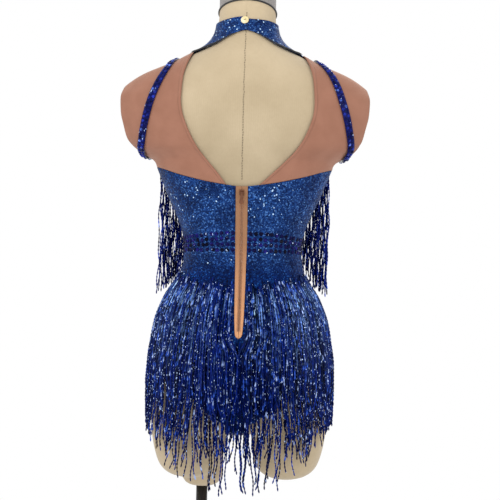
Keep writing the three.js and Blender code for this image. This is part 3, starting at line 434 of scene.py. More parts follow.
def sparkle(tree, place, cell, chance, reach):
    """Where small glints sit: in a share of the cells, which are this many millimetres across.

    reach is the radius of a glint in cells.
    """
    dots = node(tree, "TexVoronoi", Vector=place, Scale=1000 / cell, Randomness=1.0)
    draw = node(tree, "SeparateColor", Color=dots.outputs["Color"]).outputs[1]
    lucky = math_node(tree, "LESS_THAN", draw, chance)
    near = math_node(tree, "LESS_THAN", dots.outputs["Distance"], reach)
    return math_node(tree, "MULTIPLY", lucky, near)


def by_height(tree, low, high, value_low, value_high):
    """A value that changes steadily between two heights, in millimetres."""
    z = node(tree, "SeparateXYZ", Vector=object_place(tree)).outputs["Z"]
    return span(tree, z, low * MM, high * MM, value_low, value_high)


def patches(tree, spots):
    """1 in the middle of each spot, a place and a radius in millimetres, and 0 outside all of them."""
    total = 0.0
    for place, radius in spots:
        middle = [c * MM for c in place]
        far = math_node(tree, "DISTANCE", object_place(tree), middle, "VectorMath")
        total = math_node(tree, "ADD", span(tree, far, 0.0, radius * MM, 1.0, 0.0), total)
    return total


def shaded_by_height(tree, color, low, high, value_low, value_high):
    """A colour times a value that changes steadily between two heights."""
    value = by_height(tree, low, high, value_low, value_high)
    grey = node(tree, "CombineXYZ", X=value, Y=value, Z=value).outputs[0]
    return multiplied(tree, color, grey)


def facing_flakes(tree, color, spread):
    """A normal that leans its own way in each flake."""
    tilt = math_node(tree, "SUBTRACT", color, (0.5, 0.5, 0.5), "VectorMath")
    lean = math_node(tree, "MULTIPLY", tilt, (spread, spread, spread), "VectorMath")
    facing = math_node(tree, "ADD", lean, node(tree, "NewGeometry").outputs["Normal"], "VectorMath")
    return node(tree, "VectorMath", {"operation": "NORMALIZE"}, Vector=facing).outputs[0]


# Where painted glints gather most on the glitter, as painted highlights: the middle of each patch and its
# radius.
PAINTED_GLINT_PATCHES = [
    ((62, -92, 1045), 46), ((32, -98, 1022), 34), ((-84, -86, 1056), 40), ((-108, -56, 1020), 36),
    ((-40, -100, 1050), 24), ((-30, 106, 1190), 60), ((48, 120, 1080), 60), ((-70, 110, 1040), 40),
    ((20, 84, 1250), 40), ((125, 0, 1030), 34),
]
WHITE = (1, 1, 1, 1)
# Painted shade: the glitter cloth is coloured this much darker below the waist, where less light falls on it.
GLITTER_SHADE = (0.14, 0.38, 0.6, 1)  # the glitter cloth is darker by this below the waist
FLAKES = 520.0  # flakes of glitter in a metre


def glitter_material():
    """Stretch cloth covered in fine glitter: flakes that each face their own way, and pale painted glints
    among them.
    """
    material, tree, shader = fresh(
        "glitter_cloth", Metallic=0.25, Roughness=0.5, Specular_IOR_Level=0.05,
    )
    place = object_place(tree)
    flakes = node(tree, "TexVoronoi", Vector=place, Scale=FLAKES).outputs["Color"]
    grain = ramp(
        tree, node(tree, "SeparateColor", Color=flakes).outputs[0],
        (0.0, rgb(11, 30, 72)), (0.5, rgb(22, 50, 105)), (0.85, rgb(36, 75, 140)), (1.0, rgb(90, 136, 200)),
    )
    mottle = ramp(tree, noise(tree, 34, 4), (0.3, (0.42, 0.44, 0.5, 1)), (0.7, (1.1, 1.15, 1.15, 1)))
    # painted shade, darker below the waist
    shade_below_waist = by_height(tree, 905, 945, 1.0, 0.0)
    base = multiplied(tree, multiplied(tree, grain, mottle), mix(tree, shade_below_waist, WHITE, GLITTER_SHADE))
    # Painted glints: pale flecks in the base colour, gathered in clumps and patches.
    clumps = span(tree, noise(tree, 16), 0.35, 0.7, 0.0, 0.55)
    chance = math_node(tree, "MULTIPLY", clumps, patches(tree, PAINTED_GLINT_PATCHES))
    # more painted glints on the collar
    chance = math_node(tree, "ADD", chance, by_height(tree, 1280, 1310, 0.006, 0.13))
    glint = sparkle(tree, place, 4.4, chance, 0.31)
    color = mix(tree, glint, base, rgb(190, 222, 252))
    paint(tree, shader, color, facing_flakes(tree, flakes, 0.8))
    return material


def net_material():
    """Fine stretch net, with its holes as darker dots in the weave."""
    material, tree, shader = fresh(
        "skin_tone_net", Roughness=0.75, Sheen_Weight=0.35, Sheen_Roughness=0.4,
        Sheen_Tint=rgb(255, 214, 190),
    )
    color = ramp(tree, noise(tree, 26, 3), (0.3, rgb(150, 101, 79)), (0.7, rgb(159, 109, 87)))
    holes = weave(tree, 0.9)
    dark = mix(tree, math_node(tree, "MULTIPLY", holes, 0.12), color, rgb(100, 64, 50))
    paint(tree, shader, dark, bump(tree, holes, 0.0003, 0.5))
    return material


def tint_material(name, glint_cell, glint_chance, **shader_inputs):
    """A glossy material coloured by each piece's own tint, with pale painted glints in its colour."""
    material, tree, shader = fresh(name, **shader_inputs)
    tint = node(tree, "Attribute", {"attribute_name": "tint"}).outputs["Color"]
    uneven = ramp(tree, noise(tree, 9), (0.3, (0.6, 0.62, 0.7, 1)), (0.7, (1.2, 1.16, 1.12, 1)))
    tall = math_node(tree, "MULTIPLY", object_place(tree), (1, 1, 0.45), "VectorMath")
    # Painted glints: pale flecks mixed into the tint.
    glint = sparkle(tree, tall, glint_cell, glint_chance, 0.4)
    paint(tree, shader, mix(tree, glint, multiplied(tree, tint, uneven), rgb(184, 206, 246)))
    return material


def tape_material():
    """Woven zip tape, paler towards its lower end."""
    material, tree, shader = fresh("woven_zip_tape", Roughness=0.75, Sheen_Weight=0.2)
    threads = weave(tree, 0.7)
    color = mix(tree, threads, rgb(158, 108, 72), rgb(186, 134, 94))
    color = mix(tree, noise(tree, 12), color, rgb(172, 122, 84))
    color = shaded_by_height(tree, color, 840, 960, 1.55, 0.75)
    paint(tree, shader, color, bump(tree, threads, 0.0003, 0.8))
    return material


def canvas_material():
    """Plain woven canvas, faintly worn, with painted light from above that makes it paler towards the neck.
    """
    material, tree, shader = fresh("cotton_canvas", Roughness=0.9, Sheen_Weight=0.15)
    threads = weave(tree, 1.1)
    cloth = ramp(tree, noise(tree, 90, 4), (0.3, rgb(179, 161, 131)), (0.7, rgb(195, 177, 147)))
    worn = mix(tree, math_node(tree, "MULTIPLY", noise(tree, 5, 5), 0.16), cloth, rgb(140, 122, 92))
    color = mix(tree, math_node(tree, "MULTIPLY", threads, 0.1), worn, rgb(128, 112, 84))
    # Painted light from above: paler towards the neck, darker lower down.
    color = shaded_by_height(tree, color, 1080, 1380, 0.92, 1.17)
    coarse = bump(tree, noise(tree, 14, 4), 0.0012, 0.35)
    paint(tree, shader, color, bump(tree, threads, 0.0003, 0.6, coarse))
    return material


def fuzzy_material(name, dark, light, lump, roughness):
    """Brushed cloth or cord: two close colours in fine lumps."""
    material, tree, shader = fresh(name, Roughness=roughness, Sheen_Weight=0.3)
    lumps = noise(tree, lump, 4)
    paint(tree, shader, ramp(tree, lumps, (0.3, dark), (0.7, light)), bump(tree, lumps, 0.0006, 0.6))
    return material


def metal_material(name, dark, light, metallic, roughness):
    """Painted or enamelled metal with faint mottling and fine scratches."""
    material, tree, shader = fresh(name, Metallic=metallic, Roughness=roughness, Coat_Weight=0.12)
    mottle = ramp(tree, noise(tree, 18, 5), (0.35, dark), (0.7, light))
    paint(tree, shader, mottle, bump(tree, noise(tree, 1.2), 0.0001, 0.5))
    rough = span(tree, noise(tree, 3, 4), 0.0, 1.0, roughness - 0.08, roughness + 0.12)
    tree.links.new(rough, shader.inputs["Roughness"])
    return material


LOOKS = {
    "glitter": glitter_material(),
    "net": net_material(),
    "stones": tint_material("sapphire_stone", 2.2, 0.04, Roughness=0.15, Specular_IOR_Level=0.07),
    "beads": tint_material(
        "glass_bead", 1.7, 0.115, Metallic=0.2, Roughness=0.25, Specular_IOR_Level=0.07,
    ),
    "zip_tape": tape_material(),
    "zip_teeth": fuzzy_material("nylon_coil", rgb(160, 108, 72), rgb(192, 138, 98), 1.5, 0.5),
    "zip_metal": metal_material("tan_enamel", rgb(88, 48, 26), rgb(118, 72, 42), 0.3, 0.35),
    "button": metal_material("pearly_button", rgb(222, 204, 150), rgb(240, 228, 190), 0.3, 0.3),
    "canvas": canvas_material(),
    "felt": fuzzy_material("brushed_felt", rgb(108, 104, 102), rgb(158, 152, 148), 2.0, 0.95),
    "piping": fuzzy_material("cord_piping", rgb(10, 10, 12), rgb(34, 34, 38), 1.2, 0.8),
    "black_steel": metal_material("satin_black_paint", rgb(12, 12, 13), rgb(24, 24, 26), 0.0, 0.42),
    "thread": fuzzy_material("seam_thread", rgb(88, 78, 60), rgb(122, 110, 88), 1.0, 0.9),
}


# ---- meshes
def add(name, data):
    """A new object in the scene."""
    made = bpy.data.objects.new(name, data)
    bpy.context.collection.objects.link(made)
    return made


def facing_out(points, quads):
    """Whether a closed mesh is listed with its faces outwards."""
    centred = points - points.mean(0)
    a, b, c, d = (centred[quads[:, i]] for i in range(4))
    return np.einsum("ij,ij->", a, np.cross(b, c) + np.cross(c, d)) > 0


def make(name, points, faces, look, uvs=None, tints=None, smoothed=True, closed=True):
    """A piece from points in millimetres and faces that all have the same number of corners.

    The quads of a closed piece are turned outwards. Others are taken as they are listed.
    """
    if closed and not facing_out(points, faces):
        faces = faces[:, ::-1]
        uvs = None if uvs is None else uvs[:, ::-1]
    mesh = bpy.data.meshes.new(name)
    mesh.vertices.add(len(points))
    mesh.vertices.foreach_set("co", (points * MM).ravel())
    mesh.loops.add(faces.size)
    mesh.loops.foreach_set("vertex_index", faces.astype(np.int32).ravel())
    mesh.polygons.add(len(faces))
    mesh.polygons.foreach_set("loop_start", np.arange(0, faces.size, faces.shape[1], dtype=np.int32))
    mesh.polygons.foreach_set("use_smooth", np.full(len(faces), smoothed))
    if uvs is not None:
        mesh.uv_layers.new(name="cloth").data.foreach_set("uv", (uvs * MM).ravel())
    if tints is not None:
        mesh.attributes.new("tint", "FLOAT_COLOR", "POINT").data.foreach_set("color", tints.ravel())
    mesh.update(calc_edges=True)
    mesh.validate()
    mesh.materials.append(LOOKS[look])
    piece = add(name, mesh)
    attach(piece, BODY)
    return piece


def circle(count):
    """Angles evenly spaced round a turn."""
    return np.arange(count) * TURN / count


def rings(across, over, sides):
    """A unit circle of points in the plane of two directions, for each place they are given at."""
    turn = circle(sides)[:, None]
    return across[..., None, :] * np.cos(turn) + over[..., None, :] * np.sin(turn)


def grid_faces(columns, rows, wrap=True):
    """The quads of a grid of points listed row by row, and the column and row of each of their corners."""
    wide = columns if wrap else columns + 1
    c, r = (v.ravel() for v in np.meshgrid(np.arange(columns), np.arange(rows)))
    corners = np.stack([np.stack([c + dc, r + dr], -1) for dc, dr in ((0, 0), (1, 0), (1, 1), (0, 1))], 1)
    return corners[..., 1] * wide + corners[..., 0] % wide, corners


def shell(name, inner, outer, look, wrap=False, color=None):
    """A thin closed sheet between two grids of points, each with the shape (rows, columns, 3)."""
    rows, wide = outer.shape[0] - 1, outer.shape[1]
    columns = wide if wrap else wide - 1
    layer = (rows + 1) * wide
    points = np.concatenate([outer.reshape(-1, 3), inner.reshape(-1, 3)])
    top, corners = grid_faces(columns, rows, wrap)

    def rim(start, end):
        return np.stack([start, end, end + layer, start + layer], -1)

    near = np.arange(columns)
    beside = (near + 1) % wide
    far = rows * wide
    rims = [rim(beside, near), rim(far + near, far + beside)]
    if not wrap:
        left = np.arange(rows) * wide
        right = left + columns
        rims += [rim(left, left + wide), rim(right + wide, right)]
    rims = np.concatenate(rims)
    faces = np.concatenate([top, top[:, ::-1] + layer, rims])
    flat = corners * [np.linalg.norm(np.diff(outer, axis=axis), axis=-1).mean() for axis in (1, 0)]
    uvs = np.concatenate([flat, flat[:, ::-1], np.zeros((len(rims), 4, 2))])
    tints = None if color is None else np.tile(color, (len(points), 1))
    return make(name, points, faces, look, uvs, tints)


STEEP = 0.8  # a path that rises by more than this share of its length is steep


def tube(name, path, radius, look, sides=8, closed=False):
    """A tube along a path of points. radius is one number or one for each point."""
    n = len(path)
    ahead = unit(np.roll(path, -1, 0) - np.roll(path, 1, 0) if closed else np.gradient(path, axis=0))
    guide = (0, 0, 1) if abs(ahead[:, 2]).mean() < STEEP else (0, -1, 0)
    across = unit(np.cross(ahead, guide))
    round_path = rings(across, np.cross(across, ahead), sides) * np.broadcast_to(radius, n)[:, None, None]
    points = (path[:, None] + round_path).reshape(-1, 3)
    faces = grid_faces(sides, n if closed else n - 1)[0] % len(points)
    if not closed:
        first = np.arange(0, sides, 2)

        def close(middle, base):
            corners = [base + (first + k) % sides for k in range(3)]
            return np.stack([np.full_like(first, middle), *corners], -1)

        last = (n - 1) * sides
        faces = np.concatenate([faces, close(len(points), 0)[:, ::-1], close(len(points) + 1, last)])
        points = np.concatenate([points, path[:1], path[-1:]])
    return make(name, points, faces, look)


POINT_R = 0.01  # stands for a radius of 0, so that no face of a turned piece has an area of 0


def lathe(name, profile, look, place, sides=64, axis=(0, 0, 1)):
    """A turned piece. profile is (radius, height) pairs from one end of its axis to the other."""
    radius, height = np.array(profile, float).T[..., None, None]
    axis = unit(np.array(axis, float))
    side = unit(np.cross(axis, (1, 0, 0)))
    round_axis = rings(side, np.cross(axis, side), sides) * np.maximum(radius, POINT_R)
    points = np.array(place) + axis * height + round_axis
    return make(name, points.reshape(-1, 3), grid_faces(sides, len(profile) - 1)[0], look)


def many(name, centres, axes, alongs, template, tints, look, smoothed=False, facets=0.0):
    """Copies of one small shape, joined.

    template is its points and faces. Its x lies along alongs and its z along axes. The last argument is how
    unevenly its corners are tinted, which paints light and shade on a stone's facets.
    """
    shape, faces = template
    x = unit(alongs - np.sum(alongs * axes, -1, keepdims=True) * axes)
    points = centres[:, None]
    for i, direction in enumerate((x, np.cross(axes, x), axes)):
        points = points + shape[:, i, None] * direction[:, None]
    offsets = np.arange(len(centres))[:, None, None] * len(shape)
    all_faces = (faces[None] + offsets).reshape(-1, faces.shape[1])
    colors = np.repeat(tints, len(shape), axis=0)
    # Painted light and shade: each corner tinted lighter or darker, so that the facets look lit unevenly.
    colors = np.clip(colors * (1 + facets * (2 * random.random((len(colors), 1)) - 1)), 0, 1)
    return make(name, points.reshape(-1, 3), all_faces, look, None, colors, smoothed, closed=False)


def block(half_long, half_wide, low, high):
    """A small block that narrows towards its top, as its points and faces."""
    points = [
        (x * half_long * share, y * half_wide * share, z)
        for share, z in ((1, low), (0.6, high))
        for x, y in ((-1, -1), (1, -1), (1, 1), (-1, 1))
    ]
    sides = [[i, (i + 1) % 4, (i + 1) % 4 + 4, i + 4] for i in range(4)]
    return np.array(points), np.array([[3, 2, 1, 0], [4, 5, 6, 7], *sides])


# ---- cloth panels
def panel(name, columns, rows, height_at, first_edge, last_edge, look, thick=FABRIC, flip=1, crease=None):
    """A cut piece of cloth on the form. Its rows run between two upright edges, given as angles by height."""
    t, share = np.meshgrid(np.linspace(0, 1, columns + 1), np.linspace(0, 1, rows + 1))
    start = first_edge(height_at(0 * t, share))
    end = last_edge(height_at(0 * t + 1, share))
    angle = flip * lerp(start, end, t)
    z = height_at(t, share)
    fold = np.zeros_like(z) if crease is None else crease(angle, z)
    inner, outer = (off_form(angle, z, FORM_GAP + lift + fold) for lift in (0, thick))
    return shell(name, inner, outer, look)


SIDES = {"right": 1, "left": -1}  # the sign of x


def leg_line(angle, power):
    flat = GUSSET_HALF / half_width_at(CROTCH_Z)
    share = np.clip((np.abs(np.sin(angle)) - flat) / (1 - flat), 0, 1)
    return lerp(CROTCH_SEAM_Z + SEAM_GAP, SIDE_LEG_Z, share**power)


def collar_top(angle):
    middle = np.where(np.cos(angle) > 0, COLLAR_TOP["back"], COLLAR_TOP["front"])
    return lerp(COLLAR_TOP["side"], middle, np.cos(angle) ** 2)


def body_crease(angle, z):
    """Faint drag lines in the stretched cloth, across the waist and down from the underarms."""
    across = 0.22 * np.sin(z / 6.3 + 2.2 * np.sin(angle * 3)) * bell(z - 925, 34)
    fan = 0.2 * np.sin(angle * 34 + z / 21) * bell(z - 1070, 26) * np.abs(np.sin(angle)) ** 3
    return across + fan


def front():
    def edge(z):
        under = np.full_like(z, QUARTER)
        return np.where(z <= UNDERARM_Z, under, angle_of(halter_at(z), z, True)) + gap_angle(z)

    def height(t, share):
        angle = lerp(QUARTER, 3 * QUARTER, t)
        return lerp(leg_line(angle, 0.9), collar_top(angle), share)

    piece = panel(
        "front_cloth", 96, 250, height, edge, lambda z: TURN - edge(z), "glitter", crease=body_crease,
    )
    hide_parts("front")


def zip_opening(z):
    """Half the width left open for the zip, which tapers and rounds off to a plain seam below its end."""
    return np.where(z <= ZIP_BOTTOM - SEAM_GAP, SEAM_GAP / 2, zip_half_at(z + SEAM_GAP) + SEAM_GAP)


YOKE_LEVEL = 1085  # the yoke seam's x is read off the form at this height


def yoke_seam(angle):
    return yoke_seam_at(half_width_at(YOKE_LEVEL) * np.sin(angle))


def backs():
    start = angle_of(zip_half_at(ZIP_TOP), ZIP_TOP, False)

    def height(t, share):
        angle = lerp(start, QUARTER, t)
        return lerp(leg_line(angle, 1.35), yoke_seam(angle) - SEAM_GAP - SEAM_EASE, share)

    for side, flip in SIDES.items():
        piece = panel(
            f"back_{side}_cloth", 60, 190, height, lambda z: angle_of(zip_opening(z), z, False),
            lambda z: QUARTER - gap_angle(z), "glitter", flip=flip, crease=body_crease,
        )
        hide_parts(f"back_{side}")


def gusset():
    middle = side_at(CROTCH_Z)
    arc = np.linspace(0, HALF, 49)
    reach = np.where(np.cos(arc) > 0, middle - back_at(CROTCH_Z), front_at(CROTCH_Z) - middle)
    c, s = np.cos(arc), np.sin(arc)
    down = np.stack([0 * arc, middle - reach * c, CROTCH_Z - CROTCH_DROP * s], -1)
    away = unit(np.stack([0 * arc, -c / reach, -s / CROTCH_DROP], -1))
    ends = [np.array([0, surface(CROTCH_SEAM_Z), CROTCH_SEAM_Z]) for surface in (back_at, front_at)]
    at = np.concatenate([[ends[0]], down, [ends[1]]])
    out = np.concatenate([[unit(np.array([0, -1, -0.25]))], away, [unit(np.array([0, 1, -0.25]))]])
    across = np.array([[x, 0, 0] for x in np.linspace(-GUSSET_HALF, GUSSET_HALF, 13)])
    layers = [at[:, None] + out[:, None] * lift + across[None] for lift in (FORM_GAP, FORM_GAP + FABRIC)]
    piece = shell("gusset_cloth", *layers, "glitter")
    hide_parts("gusset")


COLLAR_SHIFT = 2.2  # the left end is this much higher than drawn at the button, and the right end lower


def collars():
    for side, flip in SIDES.items():
        def height(t, share, shift=-flip * COLLAR_SHIFT):
            top = collar_top(t * QUARTER) + shift * smooth(1 - t * 1.6)
            return lerp(collar_lower_at(90 * t), top, share)

        piece = panel(
            f"collar_{side}_cloth", 72, 30, height, gap_angle, lambda z: QUARTER - gap_angle(z), "glitter",
            flip=flip,
        )
        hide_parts(f"collar_{side}")


# ---- net yokes and cap sleeves
def crossing(seam_at, low, high):
    """The height between low and high at which a seam reaches the form's side."""
    def over(z):
        return seam_at(z) - half_width_at(z)

    for _ in range(40):
        mid = (low + high) / 2
        if (over(mid) > 0) == (over(low) > 0):
            low = mid
        else:
            high = mid
    return (low + high) / 2


ARMHOLE = (crossing(armhole_back_at, *ARMHOLE_BOTTOM_RANGE), crossing(armhole_back_at, *ARMHOLE_TOP_RANGE))
CUFF_LOOP = (CUFF_LOW, crossing(cuff_at, *CUFF_TOP_RANGE))


def up_loop(turn):
    """How far up a loop round the arm a turn of it is: 0 at the underarm and 1 at the shoulder."""
    return (1 - np.cos(TURN * turn)) / 2


def loop_at(turn, ends, back_seam, front_seam):
    z = lerp(ends[0], ends[1], up_loop(turn))
    angle = np.where(turn > 0.5, angle_of(front_seam(z), z, True), angle_of(back_seam(z), z, False))
    return z, angle


def armhole_loop(turn, lean, shift=0.0):
    """The armhole seam on +X. lean is 1 for the right side, which leans out, and -1 for the left."""
    def back_seam(z):
        return armhole_back_at(z) + lean * armhole_lean_at(z) + shift

    return loop_at(turn, ARMHOLE, back_seam, lambda z: armhole_front_at(z) + shift)


def off_armhole(seam, side_seam, inner_one, z):
    """The yoke's outer edge: its armhole seam, or the side seam above and below the armhole."""
    return np.where((z <= ARMHOLE[0]) | (z >= ARMHOLE[1]), side_seam, inner_one(seam, side_seam))


def net_crease(angle, z):
    """Soft pulls in the net, running down from the shoulder and in from the underarm."""
    pulls = 0.3 * np.sin(np.abs(angle) * 16 + z / 17) * bell(z - 1135, 45)
    return pulls * np.clip(np.abs(np.sin(angle)) * 2 - 0.6, 0, 1)


HEM_WIDE = 5.5


def keyhole_angle(z, lean, wide=0.0):
    return angle_of(keyhole_at(z) + lean * keyhole_lean_at(z) + wide, z, False)


def back_yokes():
    for side, flip in SIDES.items():
        low = float(keyhole_angle(KEYHOLE_LOW_Z, flip))

        def outer(z, lean=flip):
            seam = angle_of(armhole_back_at(z) + lean * armhole_lean_at(z) - SEAM_GAP, z, False)
            return off_armhole(seam, QUARTER - gap_angle(z), np.minimum, z)

        def height(t, share, low=low):
            return lerp(yoke_seam(lerp(low, QUARTER, t)), YOKE_TOP, share)

        piece = panel(
            f"yoke_back_{side}_net", 48, 110, height, lambda z, lean=flip: keyhole_angle(z, lean), outer,
            "net", NET, flip, net_crease,
        )
        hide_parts(f"yoke_back_{side}")
        keyhole_hem(side, flip)


def keyhole_hem(side, flip):
    """The turned-in edge of the net round the keyhole."""
    z = np.linspace(KEYHOLE_LOW_Z + 1.5, YOKE_TOP - 2, 80)
    rows = []
    for wide, lift in ((0.2, 0.5), (HEM_WIDE, 0.5), (0.2, 0.05), (HEM_WIDE, 0.05)):
        angle = flip * np.minimum(keyhole_angle(z, flip, wide), QUARTER - gap_angle(z))
        rows.append(off_form(angle, z, FORM_GAP + NET + lift + net_crease(angle, z)))
    piece = shell(f"keyhole_hem_{side}", np.stack(rows[2:], 1), np.stack(rows[:2], 1), "net")


def front_yokes():
    def armhole(z):
        seam = angle_of(armhole_front_at(z) - SEAM_GAP, z, True)
        return off_armhole(seam, QUARTER + gap_angle(z), np.maximum, z)

    for side, flip in SIDES.items():
        piece = panel(
            f"yoke_front_{side}_net", 24, 110, lambda t, share: lerp(FRONT_YOKE_LOW, SHOULDER_Z, share),
            lambda z: angle_of(halter_at(z) + SEAM_GAP + SEAM_EASE, z, True), armhole, "net", NET, flip,
            net_crease,
        )
        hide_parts(f"yoke_front_{side}")


def sleeves():
    turn = np.arange(144) / 144
    cuff_z, cuff_angle = loop_at(turn, CUFF_LOOP, cuff_at, cuff_at)
    t = np.linspace(0, 1, 22)[:, None]
    for side, flip in SIDES.items():
        seam_z, seam_angle = armhole_loop(turn, flip, SEAM_GAP)
        z = lerp(seam_z, cuff_z, t)
        angle = lerp(seam_angle, cuff_angle, t)
        layers = [off_form(flip * angle, z, FORM_GAP + lift + net_crease(angle, z)) for lift in (0, NET)]
        piece = shell(f"sleeve_{side}_net", *layers, "net", wrap=True)
        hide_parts(f"sleeve_{side}")


# ---- stones
def stone_shape(radius, high, sides=8):
    """A faceted stone with a flat top, as its points and triangles."""
    points = []
    for ring, height, shift in ((radius, 0.0, 0.0), (radius, 0.22, 0.0), (radius * 0.56, 1.0, 0.5)):
        turn = circle(sides) + shift * TURN / sides
        points.append(np.stack([ring * np.cos(turn), ring * np.sin(turn), 0 * turn + height * high], -1))
    a, b, c, d = grid_faces(sides, 2)[0].T
    top = 2 * sides
    lid = [[top, top + i, top + i + 1] for i in range(1, sides - 1)]
    walls = np.stack([a, b, c, a, c, d], -1).reshape(-1, 3)
    return np.concatenate(points), np.concatenate([walls, lid])


# The pale tint of a stone that flashes, a painted highlight.
PAINTED_FLASH = rgb(78, 104, 190)


def level_way(angle):
    """About the level direction along the form at an angle."""
    return np.stack([np.cos(angle), np.sin(angle), 0 * angle], -1)


def stone_tints(count, deep, rich, bright):
    """Colours from deep to rich for most stones. bright is the share of them painted pale, a painted
    highlight as if they flash in the light.
    """
    tints = lerp(np.array(deep), np.array(rich), random.random(count)[:, None] ** 1.5)
    return np.where(random.random(count)[:, None] < bright, np.array(PAINTED_FLASH), tints)


# The belt's first row and the step between rows, at the back and at the sides. The rows stop beside the zip,
# where the sine of the angle falls under clear.
BELT = {"rows": 4, "top": 979.5, "pitch": 9.9, "side_top": 969.4, "side_pitch": 7.6, "clear": 0.105}
# the last entry paints light and shade on the stones' facets
BELT_STONES = {"columns": 64, "radius": 3.7, "thick": 2.0, "facets": 0.95}
BELT_LEVEL = 960.0  # the stones are spread evenly at this height
BELT_TINTS = (rgb(3, 4, 24), rgb(28, 26, 112), 0.0)


def even_angles(shares, z):
    """The angles at these shares of the way round the form at a height."""
    angle = np.linspace(0, TURN, 721)
    steps = np.linalg.norm(np.diff(form_point(angle, z), axis=0), axis=1)
    walked = np.concatenate([[0], np.cumsum(steps)])
    return np.interp(shares * walked[-1], walked, angle)


def belt():
    """Four rows of stones round the waist, which droop a little towards the sides."""
    columns = BELT_STONES["columns"]
    centres, axes, alongs = [], [], []
    for row in range(BELT["rows"]):
        places = np.arange(columns) + 0.5 + 0.08 * random.standard_normal(columns)
        angle = even_angles(places / columns, BELT_LEVEL)
        aside = np.sin(angle) ** 2
        z = lerp(BELT["top"], BELT["side_top"], aside) - row * lerp(BELT["pitch"], BELT["side_pitch"], aside)
        z = z + 0.4 * random.standard_normal(columns)
        keep = (np.abs(np.sin(angle)) > BELT["clear"]) | (np.cos(angle) < 0)
        angle, z = angle[keep], z[keep]
        centres.append(off_form(angle, z, CLOTH + 0.1 + body_crease(angle, z)))
        axes.append(outward(angle, z))
        alongs.append(level_way(angle))
    centres, axes, alongs = (np.concatenate(v) for v in (centres, axes, alongs))
    tilt = unit(axes + 0.1 * random.standard_normal(axes.shape))
    tints = stone_tints(len(centres), *BELT_TINTS)
    stone = stone_shape(BELT_STONES["radius"], BELT_STONES["thick"])
    many("waist_stones", centres, tilt, alongs, stone, tints, "stones", facets=BELT_STONES["facets"])


# the last entry paints light and shade on the stones' facets
BAND_STONES = {"pairs": 66, "spread": 3.1, "radius": 2.9, "thick": 1.8, "facets": 0.9}
BAND_CROWN = 0.3  # how much the band's cloth swells along its middle
BAND_COLOR = rgb(12, 18, 84)
# the last entry is the share of stones painted with a pale flash, a painted highlight
BAND_TINTS = (rgb(8, 12, 52), rgb(36, 52, 160), 0.09)


def band_frame(turn, lean):
    """The middle of the armhole band: a point, the way out, the way along and the way across, on +X."""
    def middle(turn):
        z, angle = armhole_loop(turn % 1, lean)
        return z, angle, off_form(angle, z, BAND_LIFT + BAND_HOLLOW * (1 - up_loop(turn)) ** 6)

    z, angle, at = middle(turn)
    out = outward(angle, z)
    along = unit(middle(turn + 0.004)[2] - middle(turn - 0.004)[2])
    return at, out, along, unit(np.cross(along, out))


def bands():
    for side, flip in SIDES.items():
        mirror = np.array([flip, 1, 1])
        at, out, along, across = band_frame(np.arange(160) / 160, flip)
        share = np.linspace(-1, 1, 7)[:, None, None]
        crown = (1 - share**2) * BAND_CROWN
        inner = at + across * share * BAND_HALF
        outer = inner + out * (BAND_THICK * 0.5 + crown)
        layers = (inner * mirror, outer * mirror)
        piece = shell(f"armhole_band_{side}_cloth", *layers, "stones", wrap=True, color=BAND_COLOR)
        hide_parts(f"armhole_band_{side}")

        count = 2 * BAND_STONES["pairs"]
        at, out, along, across = band_frame(np.arange(count) / count, flip)
        zigzag = np.where(np.arange(count) % 2, 1, -1)[:, None] * BAND_STONES["spread"]
        centres = at + across * zigzag + out * BAND_THICK * 0.6
        tilt = unit(out + 0.12 * random.standard_normal(out.shape))
        stone = stone_shape(BAND_STONES["radius"], BAND_STONES["thick"])
        tints = stone_tints(count, *BAND_TINTS)
        many(
            f"armhole_stones_{side}", centres * mirror, tilt * mirror, along * mirror, stone, tints,
            "stones", facets=BAND_STONES["facets"],
        )


# ---- zip and button
def zip_tapes():
    for side, flip in SIDES.items():
        piece = panel(
            f"zip_tape_{side}_cloth", 8, 139, lambda t, share: lerp(ZIP_BOTTOM + SEAM_GAP, ZIP_TOP, share),
            lambda z: angle_of(SEAM_GAP / 2, z, False), lambda z: angle_of(zip_half_at(z), z, False),
            "zip_tape", TAPE, flip,
        )
        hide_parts(f"zip_tape_{side}")


COIL = {"pitch": 1.35, "off_middle": 1.05, "slant": 0.3, "half_long": 1.15, "half_wide": 0.5}
STITCHING = {"off_middle": 3.1, "radius": 0.34}
BACK = 0.0  # the angle of the middle of the back


def coil():
    """The nylon coil: a turn of it at each step on each side of the middle, and stitching beside it."""
    z = np.arange(ZIP_BOTTOM + 12, SLIDER_Z - 6, COIL["pitch"])
    hand = np.repeat([-1, 1], len(z))
    lift = FORM_GAP + TAPE + SEAM_GAP + COIL_HIGH / 2
    turns = np.concatenate([off_form(BACK, z, lift), off_form(BACK, z + COIL["pitch"] / 2, lift)])
    turns[:, 0] += hand * COIL["off_middle"]
    out = np.tile(outward(BACK, z), (2, 1))
    along = unit(np.stack([np.ones(len(hand)), 0 * hand, -hand * COIL["slant"]], -1))
    shape = block(COIL["half_long"], COIL["half_wide"], -COIL_HIGH / 2, COIL_HIGH / 2)
    tints = np.ones((len(turns), 4))
    piece = many("zip_coil_turns", turns, out, along, shape, tints, "zip_teeth", smoothed=True)
    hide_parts("zip_coil")
    for side, flip in reversed(SIDES.items()):
        line = off_form(BACK, np.linspace(ZIP_BOTTOM + 10, SLIDER_Z - 4, 120), FORM_GAP + TAPE + 0.05)
        line[:, 0] += flip * STITCHING["off_middle"]
        tube(f"coil_stitching_{side}", line, STITCHING["radius"], "zip_teeth", 6)


